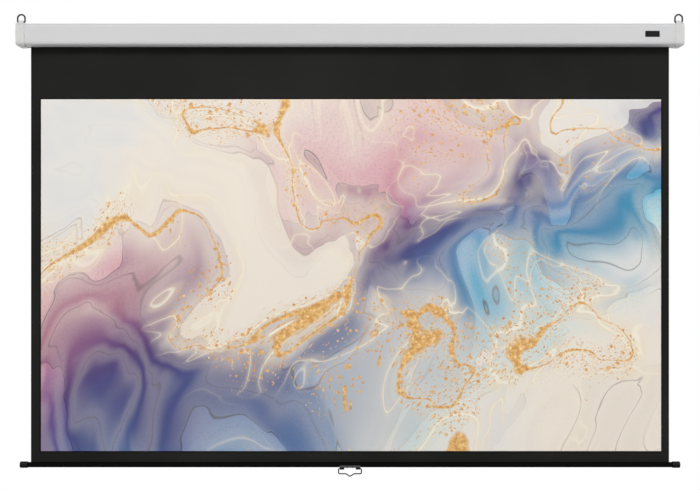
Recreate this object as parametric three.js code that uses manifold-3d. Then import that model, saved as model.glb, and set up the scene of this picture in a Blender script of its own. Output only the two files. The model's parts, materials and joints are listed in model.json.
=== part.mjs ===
// A pull-down projection screen that hangs from two rings: a square housing with a sprung
// roller, the screen fabric that comes off it, and the weighted bar with its pull handle.
// Millimetres, +Z up, +X to the right of someone facing the screen, +Y towards the wall.
// The origin lies midway between the two points where a hook bears on a hanging ring.

import * as THREE from "three";
import { mergeVertices } from "three/addons/utils/BufferGeometryUtils.js";
import Module from "manifold-3d";

const wasm = await Module();
wasm.setup();

// Fits and cuts
const fitGap = 0.3; // clearance between neighbouring pieces
const cutOverrun = 5; // how far a cutting tool passes its work
const weldDistance = 0.0001; // vertices closer than this are one

// Screen fabric
const viewWidth = 2214;
const viewHeight = 1256;
const viewOffset = 3.7; // from the sheet's middle to the viewing surface's, to the right
const sideBorder = 32;
const topDrop = 185.5; // black fabric between the housing and the viewing surface
const bottomBorder = 39;
const fabricThickness = 0.45;
const coatingThickness = 0.2;
const turnsLeftOnRoller = 2.5;
const turnSpacing = 0.9; // from one turn of fabric to the next
const splineRadius = 3; // the rod in the fabric's hem pocket

// Housing
const housingDepth = 73;
const housingHeight = 76;
const shellWall = 1;
const upperCornerRadius = 10;
const lowerCornerRadius = 12;
const rearCornerRadius = 3;
const slotFrontGap = 8; // from the fabric to the front edge of the slot
const slotRearStrip = 6.7; // of the sheet, behind the slot
const lipHeight = 6; // the turned-up edges of the slot
const plateThickness = 2;
const badgeWidth = 51;
const badgeHeight = 21.5;
const badgeThickness = 1;
const badgeCornerRadius = 1.5;
const badgeInset = 112.8; // from the end of the housing to the badge's middle

// End caps
const collarLength = 12.5; // the sleeve over the shell
const bandLength = 17.5; // the body beyond the shell
const collarWall = 1.8;
const bandWall = 2.3;
const bandEdge = 1.6; // rounding along the band's two edges
const endWall = 3;
const heelRadius = 6; // the rounded lower outer corner
const capHollow = 44; // side of the square hollow round the shaft end
const ringInset = 11; // from the cap's end to the middle of its ring
const lugWidth = 19;
const lugRadius = 6;
const lugBaseDepth = 17;
const ringPivotRise = 9.5; // above the top of the housing
const shoulderRise = 1.6;
const shoulderDepth = 26;
const shoulderLength = 27;
const shoulderSlope = 2;

// Hanging rings
const ringWireRadius = 3;
const ringOuterWidth = 32;
const ringLegGap = 0.65; // from the lug's side to a leg of the ring
const ringNeck = 14; // from the pivot to the middle of the ring's round part
const ringEndGap = 6; // between the two ends inside the lug
const ringBend = 5; // start of each bend before its corner

// Roller
const tubeRadius = 19;
const tubeWall = 1.2;
const tubeOverhang = 5; // beyond the fabric at each end
const plugLength = 40;
const plugFlangeThickness = 3;
const plugFlangeRise = 3; // of a plug's flange above the tube
const mechanismRoom = 13.7; // between a plug's flange and the end plate
const idlePinRadius = 4;
const idlePinGrip = 34; // length held in the plug
const idlePinReach = 1.5; // past the end plate
const spacerRadius = 7;
const bushFlangeRadius = 10;
const bushFlangeThickness = 2;
const bushRadius = 7;
const plugRivetRadius = 1.3;
const plugRivetLength = 5;
const plugRivetHeadRadius = 2;
const plugRivetHeadHeight = 1;

// Spring motor
const shaftRadius = 5;
const shaftTail = 5; // past the guide disc, at the shaft's inner end
const tongueWidth = 10;
const tongueThickness = 4;
const tongueReach = 9; // past the end plate
const springWireRadius = 1.4;
const springTurns = 20;
const springRoom = 112; // from the anchor's flange to the spring's end on the plug
const hubLength = 20; // the part of the anchor or plug inside the spring
const hubWall = 4.1;
const anchorTubeGap = 2.8; // from the anchor's flange to the roller's tube
const anchorFlangeThickness = 5;
const guideThickness = 6;
const guideGap = 2.7; // from the anchor to the guide disc
const clipThickness = 1.2;
const clipWidth = 18;
const clipHeight = 13;
const clipGrooveDepth = 1.2;

// Ratchet
const ratchetRadius = 8;
const ratchetThickness = 5;
const ratchetInset = 2; // from the plug's flange to the wheel
const ratchetHubRadius = 7;
const pawlArmGap = 0.8; // between a pawl's arm and the wheel
const pawlPivotOut = 9;
const pawlHubRadius = 3;
const pawlPinRadius = 1.5;
const pawlPinHeadRadius = 2.6;
const pawlPinHeadHeight = 1.2;
const pawlThickness = 4.4;
const pawlArmDepth = 3.2;
const pawlShoulderDrop = 1;
const noseWidth = 2.6;
const noseDepth = 1.6; // of the nose in its notch
const pawlLiftDegrees = 20;

// Weight bar
const barRadius = 9.5;
const barWall = 1.2;
const barSlotWidth = 3;
const barEndInset = 1; // from the end of the housing to the end of the bar
const barCapRadius = 11.5;
const barCapLength = 27;
const barCapEndWall = 3;
const barCapRounding = 3;
const barCapLip = 0.8;

// Pull handle
const saddleWidth = 74;
const saddleThickness = 1.5;
const saddleFrontDegrees = 188;
const saddleRearDegrees = 300;
const bracketRivetSpacing = 21.2;
const bracketRivetRadius = 1.5;
const bracketRivetHeadRadius = 2.5;
const bracketRivetHeadHeight = 1.2;
const bracketRivetLength = 5.4;
const blockWidth = 16;
const blockEdgeInset = 0.5; // from the saddle's end to the block
const blockTopWidth = 9;
const blockRadius = 3.7;
const blockBoreDepth = 8;
const pegRadius = 2;
const pegInset = 3.5; // from the block's inner side to the peg's middle
const pegRise = 7.5; // above the pivot's axis
const handlePivotDrop = 4.8; // below the bar
const handleWireRadius = 2.2;
const handleSideGap = 2.2; // from a pivot block to the handle's side
const handleDrop = 18.2; // from the pivot to the lower run
const handleDipDepth = 10;
const handleDipWidth = 28;
const handleBend = 5.5; // start of each bend before its corner
const handleDipBend = 4;

// Fasteners
const headFlatShare = 0.7; // of a head's radius, where its dome begins
const plateScrewRadius = 1.75;
const plateScrewLength = 10;
const plateScrewHeadRadius = 3.5;
const plateScrewHeadHeight = 2.4;
const plateScrewInset = 9.5; // from the housing's faces
const capScrewRadius = 2;
const capScrewLength = 8.6;
const capScrewHeadRadius = 3.2;
const capScrewHeadHeight = 2;
const tabWidth = 16;
const tabThickness = 2;
const tabInset = 8.5; // in front of the roller's axis

// Smoothness: sides or steps in each round form
const cornerSteps = 4;
const smallSides = 12;
const roundSides = 20;
const tubeSides = 28;
const wireSides = 8;
const ringSteps = 48;
const handleSteps = 68;
const springSides = 5;
const springStepsPerTurn = 8;
const turnSteps = 24;

// Places along X, from the middle to the right-hand end
const fabricEnd = viewWidth / 2 + sideBorder;
const tubeEnd = fabricEnd + tubeOverhang;
const flangeFace = tubeEnd + fitGap + plugFlangeThickness;
const plateInner = flangeFace + mechanismRoom;
const plateOuter = plateInner + plateThickness;
const shellEnd = plateInner - fitGap;
const collarStart = plateInner - collarLength;
const capEnd = plateInner + bandLength;
const ringX = capEnd - ringInset;
const barEnd = capEnd - barEndInset;

// Places across and up, from the roller's axis
const housingTop = housingHeight / 2;
const housingBottom = -housingHeight / 2;
const housingFront = -housingDepth / 2;
const housingBack = housingDepth / 2;
const rollInnerRadius = tubeRadius + fitGap;
const fabricInner = rollInnerRadius + turnsLeftOnRoller * turnSpacing;
const fabricY = fabricInner + fabricThickness / 2;
const viewTop = housingBottom - topDrop;
const viewBottom = viewTop - viewHeight;
const barZ = viewBottom - bottomBorder - barRadius;
const ringPivotZ = housingTop + ringPivotRise;
const ringRadius = ringOuterWidth / 2 - ringWireRadius; // to the middle of the wire
const ringCrownRise = ringNeck + ringRadius; // pivot to the middle of the crown's wire
const hookZ = ringPivotZ + ringCrownRise - ringWireRadius;
const tubeInner = tubeRadius - tubeWall;
const plugRadius = tubeInner - fitGap;
const plugFlangeRadius = tubeRadius + plugFlangeRise;
const anchorFlangeRadius = tubeInner - anchorTubeGap;
const pawlPivotUp = ratchetRadius + pawlArmGap + pawlArmDepth;
const noseTipRadius = ratchetRadius - noseDepth;
const hubRadius = shaftRadius + fitGap + hubWall;
// the spring's straight steps come nearest the hub at their middles
const springInner = hubRadius + fitGap;
const springRadius = (springInner + springWireRadius) / Math.cos(Math.PI / springStepsPerTurn);
const plugInner = tubeEnd - plugLength;
const capRise = fitGap + bandWall;
const collarRise = fitGap + collarWall;

const xAxis = new THREE.Vector3(1, 0, 0);
const yAxis = new THREE.Vector3(0, 1, 0);
const zAxis = new THREE.Vector3(0, 0, 1);

// Finishes
const coatedWhite = finish(0xe4e4e6, 0.45, 0.1);
const mouldedWhite = finish(0xe2e2e2, 0.5, 0);
const mouldedBlack = finish(0x0b0b0c, 0.45, 0);
const blackCloth = finish(0x161617, 0.85, 0);
const screenWhite = finish(0xdcdcdc, 0.9, 0);
const blackPaint = finish(0x08080a, 0.4, 0.2);
const darkWire = finish(0x4a4a4c, 0.35, 0.9);
const greySteel = finish(0x6a6a6c, 0.4, 0.85);
const zincSteel = finish(0x9c9ea0, 0.4, 0.9);
const paleNylon = finish(0xd8d5c8, 0.55, 0);

function finish(color, roughness, metalness) {
  return new THREE.MeshStandardMaterial({ color, roughness, metalness });
}

// Adds one named piece to a group.
function addPiece(group, name, geometry, material) {
  const mesh = new THREE.Mesh(geometry, material.clone());
  mesh.name = name;
  group.add(mesh);
}

function groupAt(x, y, z) {
  const group = new THREE.Group();
  group.position.set(x, y, z);
  return group;
}

// A geometry as a solid that can be cut and joined.
function solidOf(geometry) {
  const bare = geometry.clone();
  bare.deleteAttribute("normal");
  bare.deleteAttribute("uv");
  const welded = mergeVertices(bare, weldDistance);
  const vertProperties = welded.attributes.position.array;
  const triVerts = new Uint32Array(welded.index.array);
  return new wasm.Manifold(new wasm.Mesh({ numProp: 3, vertProperties, triVerts }));
}

function geometryOf(solid) {
  const { vertProperties, triVerts } = solid.getMesh();
  const geometry = new THREE.BufferGeometry();
  geometry.setAttribute("position", new THREE.BufferAttribute(vertProperties, 3));
  geometry.setIndex(new THREE.BufferAttribute(triVerts, 1));
  geometry.computeVertexNormals();
  return geometry;
}

function cut(base, ...tools) {
  return geometryOf(tools.reduce((left, tool) => left.subtract(solidOf(tool)), solidOf(base)));
}

function join(first, ...others) {
  return geometryOf(others.reduce((whole, next) => whole.add(solidOf(next)), solidOf(first)));
}

// The same piece for the other end: mirrored across the middle, with its faces turned back out.
function mirrored(geometry) {
  const copy = mergeVertices(geometry.clone().scale(-1, 1, 1), weldDistance);
  const index = copy.getIndex();
  for (let i = 0; i < index.count; i += 3) {
    const second = index.getX(i + 1);
    index.setX(i + 1, index.getX(i + 2));
    index.setX(i + 2, second);
  }
  return copy;
}

function block(x0, x1, y0, y1, z0, z1) {
  const box = new THREE.BoxGeometry(x1 - x0, y1 - y0, z1 - z0);
  return box.translate((x0 + x1) / 2, (y0 + y1) / 2, (z0 + z1) / 2);
}

// An outline drawn across and up, (y, z), carried along X.
function prismAlongX(shape, x0, x1, curveSegments = cornerSteps) {
  const prism = new THREE.ExtrudeGeometry(shape, {
    depth: x1 - x0,
    bevelEnabled: false,
    curveSegments,
  });
  prism.applyMatrix4(new THREE.Matrix4().makeBasis(yAxis, zAxis, xAxis));
  return prism.translate(x0, 0, 0);
}

// An outline drawn along and up, (x, z), carried towards the front from y1 to y0.
function prismAlongY(shape, y0, y1) {
  const prism = new THREE.ExtrudeGeometry(shape, {
    depth: y1 - y0,
    bevelEnabled: false,
    curveSegments: cornerSteps,
  });
  prism.applyMatrix4(new THREE.Matrix4().makeBasis(xAxis, zAxis, yAxis.clone().negate()));
  return prism.translate(0, y1, 0);
}

function rodAlongX(radius, x0, x1, y = 0, z = 0, sides = smallSides) {
  const rod = new THREE.CylinderGeometry(radius, radius, x1 - x0, sides);
  return rod.rotateZ(Math.PI / 2).translate((x0 + x1) / 2, y, z);
}

function rodAlongZ(radius, z0, z1, x = 0, y = 0) {
  const rod = new THREE.CylinderGeometry(radius, radius, z1 - z0, smallSides);
  return rod.rotateX(Math.PI / 2).translate(x, y, (z0 + z1) / 2);
}

// A turned form on the X axis, from pairs of a place along X and a radius there.
function turnedAlongX(profile, sides = roundSides) {
  const points = profile.map(([x, radius]) => new THREE.Vector2(radius, x));
  return new THREE.LatheGeometry(points, sides).rotateZ(-Math.PI / 2);
}

// A turned ring or sleeve between two radii.
function sleeve(inner, outer, x0, x1, sides = roundSides) {
  const profile = [
    [x0, inner],
    [x0, outer],
    [x1, outer],
    [x1, inner],
    [x0, inner],
  ];
  return turnedAlongX(profile, sides);
}

// A round wire bent in the plane along and up, (x, z).
class BentWire extends THREE.Curve {
  constructor(path) {
    super();
    this.path = path;
  }

  getPoint(share, target = new THREE.Vector3()) {
    const point = this.path.getPoint(share);
    return target.set(point.x, 0, point.y);
  }
}

class Helix extends THREE.Curve {
  constructor(radius, turns, x0, x1) {
    super();
    Object.assign(this, { radius, turns, x0, x1 });
  }

  getPoint(share, target = new THREE.Vector3()) {
    const angle = share * this.turns * 2 * Math.PI;
    const x = this.x0 + share * (this.x1 - this.x0);
    return target.set(x, this.radius * Math.cos(angle), this.radius * Math.sin(angle));
  }
}

function wireAlong(curve, radius, steps, sides) {
  const section = new THREE.Shape();
  for (let i = 0; i < sides; i += 1) {
    const angle = (2 * Math.PI * i) / sides;
    const [across, up] = [radius * Math.cos(angle), radius * Math.sin(angle)];
    if (i === 0) section.moveTo(across, up);
    else section.lineTo(across, up);
  }
  section.closePath();
  return new THREE.ExtrudeGeometry(section, { steps, extrudePath: curve, bevelEnabled: false });
}

// A path through corners, each rounded from the given distance before it.
function roundedPath(corners, bends) {
  const path = new THREE.Path().moveTo(...corners[0].toArray());
  for (let i = 1; i < corners.length - 1; i += 1) {
    const corner = corners[i];
    const before = corners[i - 1].clone().sub(corner).setLength(bends[i - 1]).add(corner);
    const after = corners[i + 1].clone().sub(corner).setLength(bends[i - 1]).add(corner);
    path.lineTo(before.x, before.y);
    path.quadraticCurveTo(corner.x, corner.y, after.x, after.y);
  }
  const last = corners[corners.length - 1];
  return path.lineTo(last.x, last.y);
}

function radians(degrees) {
  return THREE.MathUtils.degToRad(degrees);
}

// A screw or rivet on the X axis: a domed head that ends at headFace and a shank beyond it.
function fastener(radius, length, headRadius, headHeight, headFace) {
  const profile = [
    [headFace - headHeight, 0],
    [headFace - headHeight, headRadius * headFlatShare],
    [headFace - headHeight / 2, headRadius],
    [headFace, headRadius],
    [headFace, radius],
    [headFace + length, radius],
    [headFace + length, 0],
  ];
  return turnedAlongX(profile, smallSides);
}

// The housing's outline, grown outwards everywhere but at its back.
function housingOutline(grow, back) {
  const top = housingTop + grow;
  const bottom = housingBottom - grow;
  const front = housingFront - grow;
  const upper = upperCornerRadius + grow;
  const lower = lowerCornerRadius + grow;
  const rear = rearCornerRadius;
  const shape = new THREE.Shape();
  shape.moveTo(front + lower, bottom);
  shape.lineTo(back - rear, bottom);
  shape.absarc(back - rear, bottom + rear, rear, -Math.PI / 2, 0);
  shape.lineTo(back, top - rear);
  shape.absarc(back - rear, top - rear, rear, 0, Math.PI / 2);
  shape.lineTo(front + upper, top);
  shape.absarc(front + upper, top - upper, upper, Math.PI / 2, Math.PI);
  shape.lineTo(front, bottom + lower);
  shape.absarc(front + lower, bottom + lower, lower, Math.PI, 1.5 * Math.PI);
  return shape;
}

// The folded sheet of the housing: one strip bent into a square, with the slot's edges turned up.
function shellOutline() {
  const slotFront = fabricY - slotFrontGap;
  const slotRear = housingBack - slotRearStrip;
  const lipTop = housingBottom + lipHeight;
  const [upper, lower, rear] = [upperCornerRadius, lowerCornerRadius, rearCornerRadius];
  const inside = shellWall;
  const shape = new THREE.Shape();
  shape.moveTo(slotRear, housingBottom);
  shape.lineTo(housingBack - rear, housingBottom);
  shape.absarc(housingBack - rear, housingBottom + rear, rear, -Math.PI / 2, 0);
  shape.lineTo(housingBack, housingTop - rear);
  shape.absarc(housingBack - rear, housingTop - rear, rear, 0, Math.PI / 2);
  shape.lineTo(housingFront + upper, housingTop);
  shape.absarc(housingFront + upper, housingTop - upper, upper, Math.PI / 2, Math.PI);
  shape.lineTo(housingFront, housingBottom + lower);
  shape.absarc(housingFront + lower, housingBottom + lower, lower, Math.PI, 1.5 * Math.PI);
  shape.lineTo(slotFront, housingBottom);
  shape.lineTo(slotFront, lipTop);
  shape.lineTo(slotFront - inside, lipTop);
  shape.lineTo(slotFront - inside, housingBottom + inside);
  shape.lineTo(housingFront + lower, housingBottom + inside);
  const within = (radius) => radius - inside;
  shape.absarc(
    housingFront + lower, housingBottom + lower, within(lower), 1.5 * Math.PI, Math.PI, true,
  );
  shape.lineTo(housingFront + inside, housingTop - upper);
  shape.absarc(
    housingFront + upper, housingTop - upper, within(upper), Math.PI, Math.PI / 2, true,
  );
  shape.lineTo(housingBack - rear, housingTop - inside);
  shape.absarc(housingBack - rear, housingTop - rear, within(rear), Math.PI / 2, 0, true);
  shape.lineTo(housingBack - inside, housingBottom + rear);
  shape.absarc(housingBack - rear, housingBottom + rear, within(rear), 0, -Math.PI / 2, true);
  shape.lineTo(slotRear + inside, housingBottom + inside);
  shape.lineTo(slotRear + inside, lipTop);
  shape.lineTo(slotRear, lipTop);
  return shape;
}

// Where the screw through a cap's underside stands.
const capScrewX = collarStart + collarLength / 2;
const tabTop = housingBottom + shellWall + fitGap + tabThickness;

// A hole for the cap screw at each end, through whatever lies there.
function capScrewHole(side) {
  const bottom = housingBottom - capRise - cutOverrun;
  const top = tabTop + cutOverrun;
  return rodAlongZ(capScrewRadius + fitGap, bottom, top, side * capScrewX, -tabInset);
}

function shell() {
  const sheet = prismAlongX(shellOutline(), -shellEnd, shellEnd);
  return cut(sheet, capScrewHole(1), capScrewHole(-1));
}

function badge() {
  const [w, h, r] = [badgeWidth / 2, badgeHeight / 2, badgeCornerRadius];
  const x = capEnd - badgeInset;
  const shape = new THREE.Shape();
  shape.moveTo(x - w + r, -h);
  shape.lineTo(x + w - r, -h);
  shape.absarc(x + w - r, r - h, r, -Math.PI / 2, 0);
  shape.lineTo(x + w, h - r);
  shape.absarc(x + w - r, h - r, r, 0, Math.PI / 2);
  shape.lineTo(x - w + r, h);
  shape.absarc(x - w + r, h - r, r, Math.PI / 2, Math.PI);
  shape.lineTo(x - w, r - h);
  shape.absarc(x - w + r, r - h, r, Math.PI, 1.5 * Math.PI);
  return prismAlongY(shape, housingFront - badgeThickness, housingFront);
}

// The places, (y, z), of the two screws that hold a cap to its end plate.
const plateScrewPlaces = {
  upper: [housingBack - plateScrewInset, housingTop - plateScrewInset],
  lower: [housingFront + plateScrewInset, housingBottom + plateScrewInset],
};

function endCapBand() {
  const band = new THREE.ExtrudeGeometry(housingOutline(capRise, housingBack), {
    depth: bandLength - 2 * bandEdge,
    bevelEnabled: true,
    bevelThickness: bandEdge,
    bevelSize: bandEdge,
    bevelOffset: -bandEdge,
    bevelSegments: 2,
    curveSegments: cornerSteps,
  });
  band.applyMatrix4(new THREE.Matrix4().makeBasis(yAxis, zAxis, xAxis));
  return band.translate(plateInner + bandEdge, 0, 0);
}

// The part of the lower outer corner that its rounding takes away.
function heelCutter() {
  const bottom = housingBottom - capRise;
  const shape = new THREE.Shape();
  shape.moveTo(capEnd - heelRadius, bottom - cutOverrun);
  shape.lineTo(capEnd + cutOverrun, bottom - cutOverrun);
  shape.lineTo(capEnd + cutOverrun, bottom + heelRadius);
  shape.lineTo(capEnd, bottom + heelRadius);
  shape.absarc(capEnd - heelRadius, bottom + heelRadius, heelRadius, 0, -Math.PI / 2, true);
  const reach = housingDepth / 2 + capRise + cutOverrun;
  return prismAlongY(shape, -reach, reach);
}

function ringLug() {
  const base = housingTop;
  const [half, foot] = [lugRadius, lugBaseDepth / 2];
  const shape = new THREE.Shape();
  shape.moveTo(-foot, base);
  shape.lineTo(foot, base);
  shape.lineTo(half, ringPivotZ);
  shape.absarc(0, ringPivotZ, half, 0, Math.PI);
  return prismAlongX(shape, ringX - lugWidth / 2, ringX + lugWidth / 2);
}

function capShoulder() {
  const [half, top] = [shoulderLength / 2, housingTop + capRise + shoulderRise];
  const shape = new THREE.Shape();
  const middle = (collarStart + capEnd) / 2;
  shape.moveTo(middle - half, housingTop + fitGap);
  shape.lineTo(middle + half, housingTop + fitGap);
  shape.lineTo(middle + half, top - shoulderSlope);
  shape.lineTo(middle + half - shoulderSlope, top);
  shape.lineTo(middle - half + shoulderSlope, top);
  shape.lineTo(middle - half, top - shoulderSlope);
  return prismAlongY(shape, -shoulderDepth / 2, shoulderDepth / 2);
}

// The right-hand cap; the left-hand one is its mirror image.
function endCap() {
  const collar = prismAlongX(
    housingOutline(collarRise, housingBack), collarStart, plateInner + 2 * bandEdge,
  );
  const whole = join(collar, endCapBand(), capShoulder(), ringLug());
  const pocketEnd = plateOuter + fitGap;
  const openBack = housingBack + rearCornerRadius + cutOverrun;
  const pocket = prismAlongX(
    housingOutline(fitGap, openBack), collarStart - cutOverrun, pocketEnd,
  );
  const half = capHollow / 2;
  const hollow = block(plateOuter, capEnd - endWall, -half, half, -half, half);
  const bore = rodAlongX(
    ringWireRadius + fitGap, ringX - lugWidth, ringX + lugWidth, 0, ringPivotZ,
  );
  const screwHoles = Object.values(plateScrewPlaces).map((place) =>
    rodAlongX(
      plateScrewRadius + fitGap, plateInner, plateInner + plateScrewLength + fitGap, ...place,
    ),
  );
  return cut(whole, pocket, hollow, bore, heelCutter(), capScrewHole(1), ...screwHoles);
}

// An end plate with its two screw holes and the tab that the cap screw goes through.
function endPlate(opening) {
  const plate = prismAlongX(housingOutline(0, housingBack), plateInner, plateOuter);
  const tab = block(
    collarStart, plateInner + plateThickness / 2,
    -tabInset - tabWidth / 2, -tabInset + tabWidth / 2,
    tabTop - tabThickness, tabTop,
  );
  const holes = Object.values(plateScrewPlaces).map((place) =>
    rodAlongX(
      plateScrewRadius + fitGap, plateInner - cutOverrun, plateOuter + cutOverrun, ...place,
    ),
  );
  return cut(join(plate, tab), opening, capScrewHole(1), ...holes);
}

function plateScrew(place) {
  const screw = fastener(
    plateScrewRadius, plateScrewLength, plateScrewHeadRadius, plateScrewHeadHeight,
    plateInner - fitGap,
  );
  return screw.translate(0, ...place);
}

// The screw through the cap's underside, pointing up.
function capScrew() {
  const screw = fastener(
    capScrewRadius, capScrewLength, capScrewHeadRadius, capScrewHeadHeight, 0,
  );
  screw.rotateY(-Math.PI / 2);
  return screw.translate(capScrewX, -tabInset, housingBottom - collarRise - fitGap);
}

function bearingBush() {
  const face = plateInner - fitGap;
  const flangeStart = face - bushFlangeThickness;
  const bore = idlePinRadius + fitGap;
  const profile = [
    [flangeStart, bore],
    [flangeStart, bushFlangeRadius],
    [face, bushFlangeRadius],
    [face, bushRadius],
    [plateOuter + fitGap, bushRadius],
    [plateOuter + fitGap, bore],
    [flangeStart, bore],
  ];
  return turnedAlongX(profile);
}

function ringPath() {
  const leg = lugWidth / 2 + ringLegGap + ringWireRadius;
  // the legs leave the circle along its tangents and meet the pivot's axis beside the lug
  const lean = Math.atan2(ringNeck, leg) - Math.acos(ringRadius / Math.hypot(leg, ringNeck));
  const side = ringRadius * Math.cos(lean);
  const from = new THREE.Vector2(side, ringNeck - ringRadius * Math.sin(lean));
  const along = new THREE.Vector2(leg, 0).sub(from).setLength(ringBend);
  const bendTop = new THREE.Vector2(leg, 0).sub(along);
  const path = new THREE.Path().moveTo(ringEndGap / 2, 0);
  path.lineTo(leg - ringBend, 0);
  path.quadraticCurveTo(leg, 0, bendTop.x, bendTop.y);
  path.lineTo(from.x, from.y);
  path.absarc(0, ringNeck, ringRadius, -lean, Math.PI + lean);
  path.lineTo(-bendTop.x, bendTop.y);
  path.quadraticCurveTo(-leg, 0, ringBend - leg, 0);
  return path.lineTo(-ringEndGap / 2, 0);
}

function hangingRing() {
  return wireAlong(new BentWire(ringPath()), ringWireRadius, ringSteps, wireSides);
}

function addHousing(screen) {
  const housing = groupAt(0, 0, 0);
  addPiece(housing, "housing_shell", shell(), coatedWhite);
  addPiece(housing, "badge_plate", badge(), mouldedBlack);
  const cap = endCap();
  addPiece(housing, "end_cap_right", cap, mouldedWhite);
  addPiece(housing, "end_cap_left", mirrored(cap), mouldedWhite);
  const overrun = [plateInner - cutOverrun, plateOuter + cutOverrun];
  const [wide, thick] = [tongueWidth / 2 + fitGap, tongueThickness / 2 + fitGap];
  const tongueSlot = block(...overrun, -wide, wide, -thick, thick);
  const bushHole = rodAlongX(bushRadius + fitGap, ...overrun, 0, 0, roundSides);
  addPiece(housing, "end_plate_right", endPlate(tongueSlot), zincSteel);
  addPiece(housing, "end_plate_left", mirrored(endPlate(bushHole)), zincSteel);
  addPiece(housing, "bearing_bush", mirrored(bearingBush()), paleNylon);
  for (const [height, place] of Object.entries(plateScrewPlaces)) {
    const screw = plateScrew(place);
    addPiece(housing, `plate_screw_right_${height}`, screw, zincSteel);
    addPiece(housing, `plate_screw_left_${height}`, mirrored(screw), zincSteel);
  }
  addPiece(housing, "cap_screw_right", capScrew(), zincSteel);
  addPiece(housing, "cap_screw_left", mirrored(capScrew()), zincSteel);
  for (const [side, x] of Object.entries({ right: ringX, left: -ringX })) {
    const ring = groupAt(x, 0, ringPivotZ);
    addPiece(ring, `hanging_ring_${side}`, hangingRing(), darkWire);
    housing.add(ring);
  }
  screen.add(housing);
}

// Places along X of the spring motor's pieces, which don't turn with the roller
const springEnd = plugInner - hubLength / 2;
const springStart = springEnd - springRoom;
const shaftEnd = flangeFace + ratchetInset;
const guideStart = springStart - anchorFlangeThickness - guideGap - guideThickness;
const shaftStart = guideStart - shaftTail;
const ratchetFace = shaftEnd + ratchetThickness;

function springShaft() {
  const round = rodAlongX(shaftRadius, shaftStart, shaftEnd, 0, 0, smallSides);
  const [wide, thick] = [tongueWidth / 2, tongueThickness / 2];
  const tongueEnd = plateOuter + tongueReach;
  const tongue = block(flangeFace, tongueEnd, -wide, wide, -thick, thick);
  const grooves = [1, -1].map((side) => {
    const reach = [wide - clipGrooveDepth, wide + cutOverrun].map((y) => side * y);
    return block(
      plateOuter, plateOuter + clipThickness + 2 * fitGap,
      Math.min(...reach), Math.max(...reach), -thick - cutOverrun, thick + cutOverrun,
    );
  });
  return cut(join(round, tongue), ...grooves);
}

function shaftClip() {
  const start = plateOuter + fitGap;
  const [wide, high] = [clipWidth / 2, clipHeight / 2];
  const gap = tongueWidth / 2 - clipGrooveDepth + fitGap;
  const plate = block(start, start + clipThickness, -wide, wide, -high, high);
  const mouth = block(
    start - cutOverrun, start + clipThickness + cutOverrun,
    -gap, gap, -high - cutOverrun, tongueThickness / 2 + fitGap,
  );
  return cut(plate, mouth);
}

// The fixed wheel with two notches, each a flat with one upright wall that stops a pawl.
function ratchetWheel() {
  const wheel = rodAlongX(
    ratchetRadius, shaftEnd + fitGap, ratchetFace, 0, 0, tubeSides,
  );
  const hub = rodAlongX(
    ratchetHubRadius, ratchetFace - ratchetThickness / 2, plateInner - fitGap, 0, 0, roundSides,
  );
  const [wide, thick] = [tongueWidth / 2 + fitGap, tongueThickness / 2 + fitGap];
  const keyway = block(shaftEnd - cutOverrun, plateInner, -wide, wide, -thick, thick);
  const wall = -noseWidth / 2 - fitGap;
  const floor = noseTipRadius - fitGap;
  const notch = block(
    shaftEnd - cutOverrun, ratchetFace, wall, ratchetRadius + cutOverrun,
    floor, ratchetRadius + cutOverrun,
  );
  const opposite = notch.clone().rotateX(Math.PI);
  return cut(join(wheel, hub), notch, opposite, keyway);
}

function springAnchor() {
  const face = springStart;
  const bore = shaftRadius + fitGap;
  const profile = [
    [face - anchorFlangeThickness, bore],
    [face - anchorFlangeThickness, anchorFlangeRadius],
    [face, anchorFlangeRadius],
    [face, hubRadius],
    [face + hubLength, hubRadius],
    [face + hubLength, bore],
    [face - anchorFlangeThickness, bore],
  ];
  return turnedAlongX(profile);
}

function torsionSpring() {
  const inset = springWireRadius + fitGap;
  const helix = new Helix(springRadius, springTurns, springStart + inset, springEnd - inset);
  const steps = Math.round(springTurns * springStepsPerTurn);
  return wireAlong(helix, springWireRadius, steps, springSides);
}

function addSpringMotor(screen) {
  const motor = groupAt(0, 0, 0);
  addPiece(motor, "spring_shaft", springShaft(), zincSteel);
  addPiece(motor, "shaft_clip", shaftClip(), zincSteel);
  addPiece(motor, "ratchet_wheel", ratchetWheel(), greySteel);
  addPiece(motor, "spring_anchor", springAnchor(), greySteel);
  addPiece(motor, "torsion_spring", torsionSpring(), greySteel);
  screen.add(motor);
}

// The hole that a plug's rivet goes into, across the tube's wall.
function plugRivetHole() {
  const middle = fabricEnd + tubeOverhang / 2;
  return rodAlongZ(
    plugRivetRadius + fitGap, plugRadius - plugRivetLength, tubeRadius + cutOverrun, middle, 0,
  );
}

function plugRivet() {
  const rivet = fastener(
    plugRivetRadius, plugRivetLength, plugRivetHeadRadius, plugRivetHeadHeight, 0,
  );
  rivet.rotateY(Math.PI / 2);
  return rivet.translate(fabricEnd + tubeOverhang / 2, 0, tubeRadius + fitGap);
}

function rollerTube() {
  const tube = sleeve(tubeInner, tubeRadius, -tubeEnd, tubeEnd, tubeSides);
  return cut(tube, plugRivetHole(), mirrored(plugRivetHole()));
}

// A plug is a turned body in the tube with a flange outside it.
function plugBody(bore, outer) {
  const flangeStart = tubeEnd + fitGap;
  const profile = [
    [plugInner, bore],
    [plugInner, plugRadius],
    [flangeStart, plugRadius],
    [flangeStart, plugFlangeRadius],
    [flangeFace, plugFlangeRadius],
    ...outer,
    [flangeFace, bore],
    [plugInner, bore],
  ];
  return turnedAlongX(profile);
}

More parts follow.
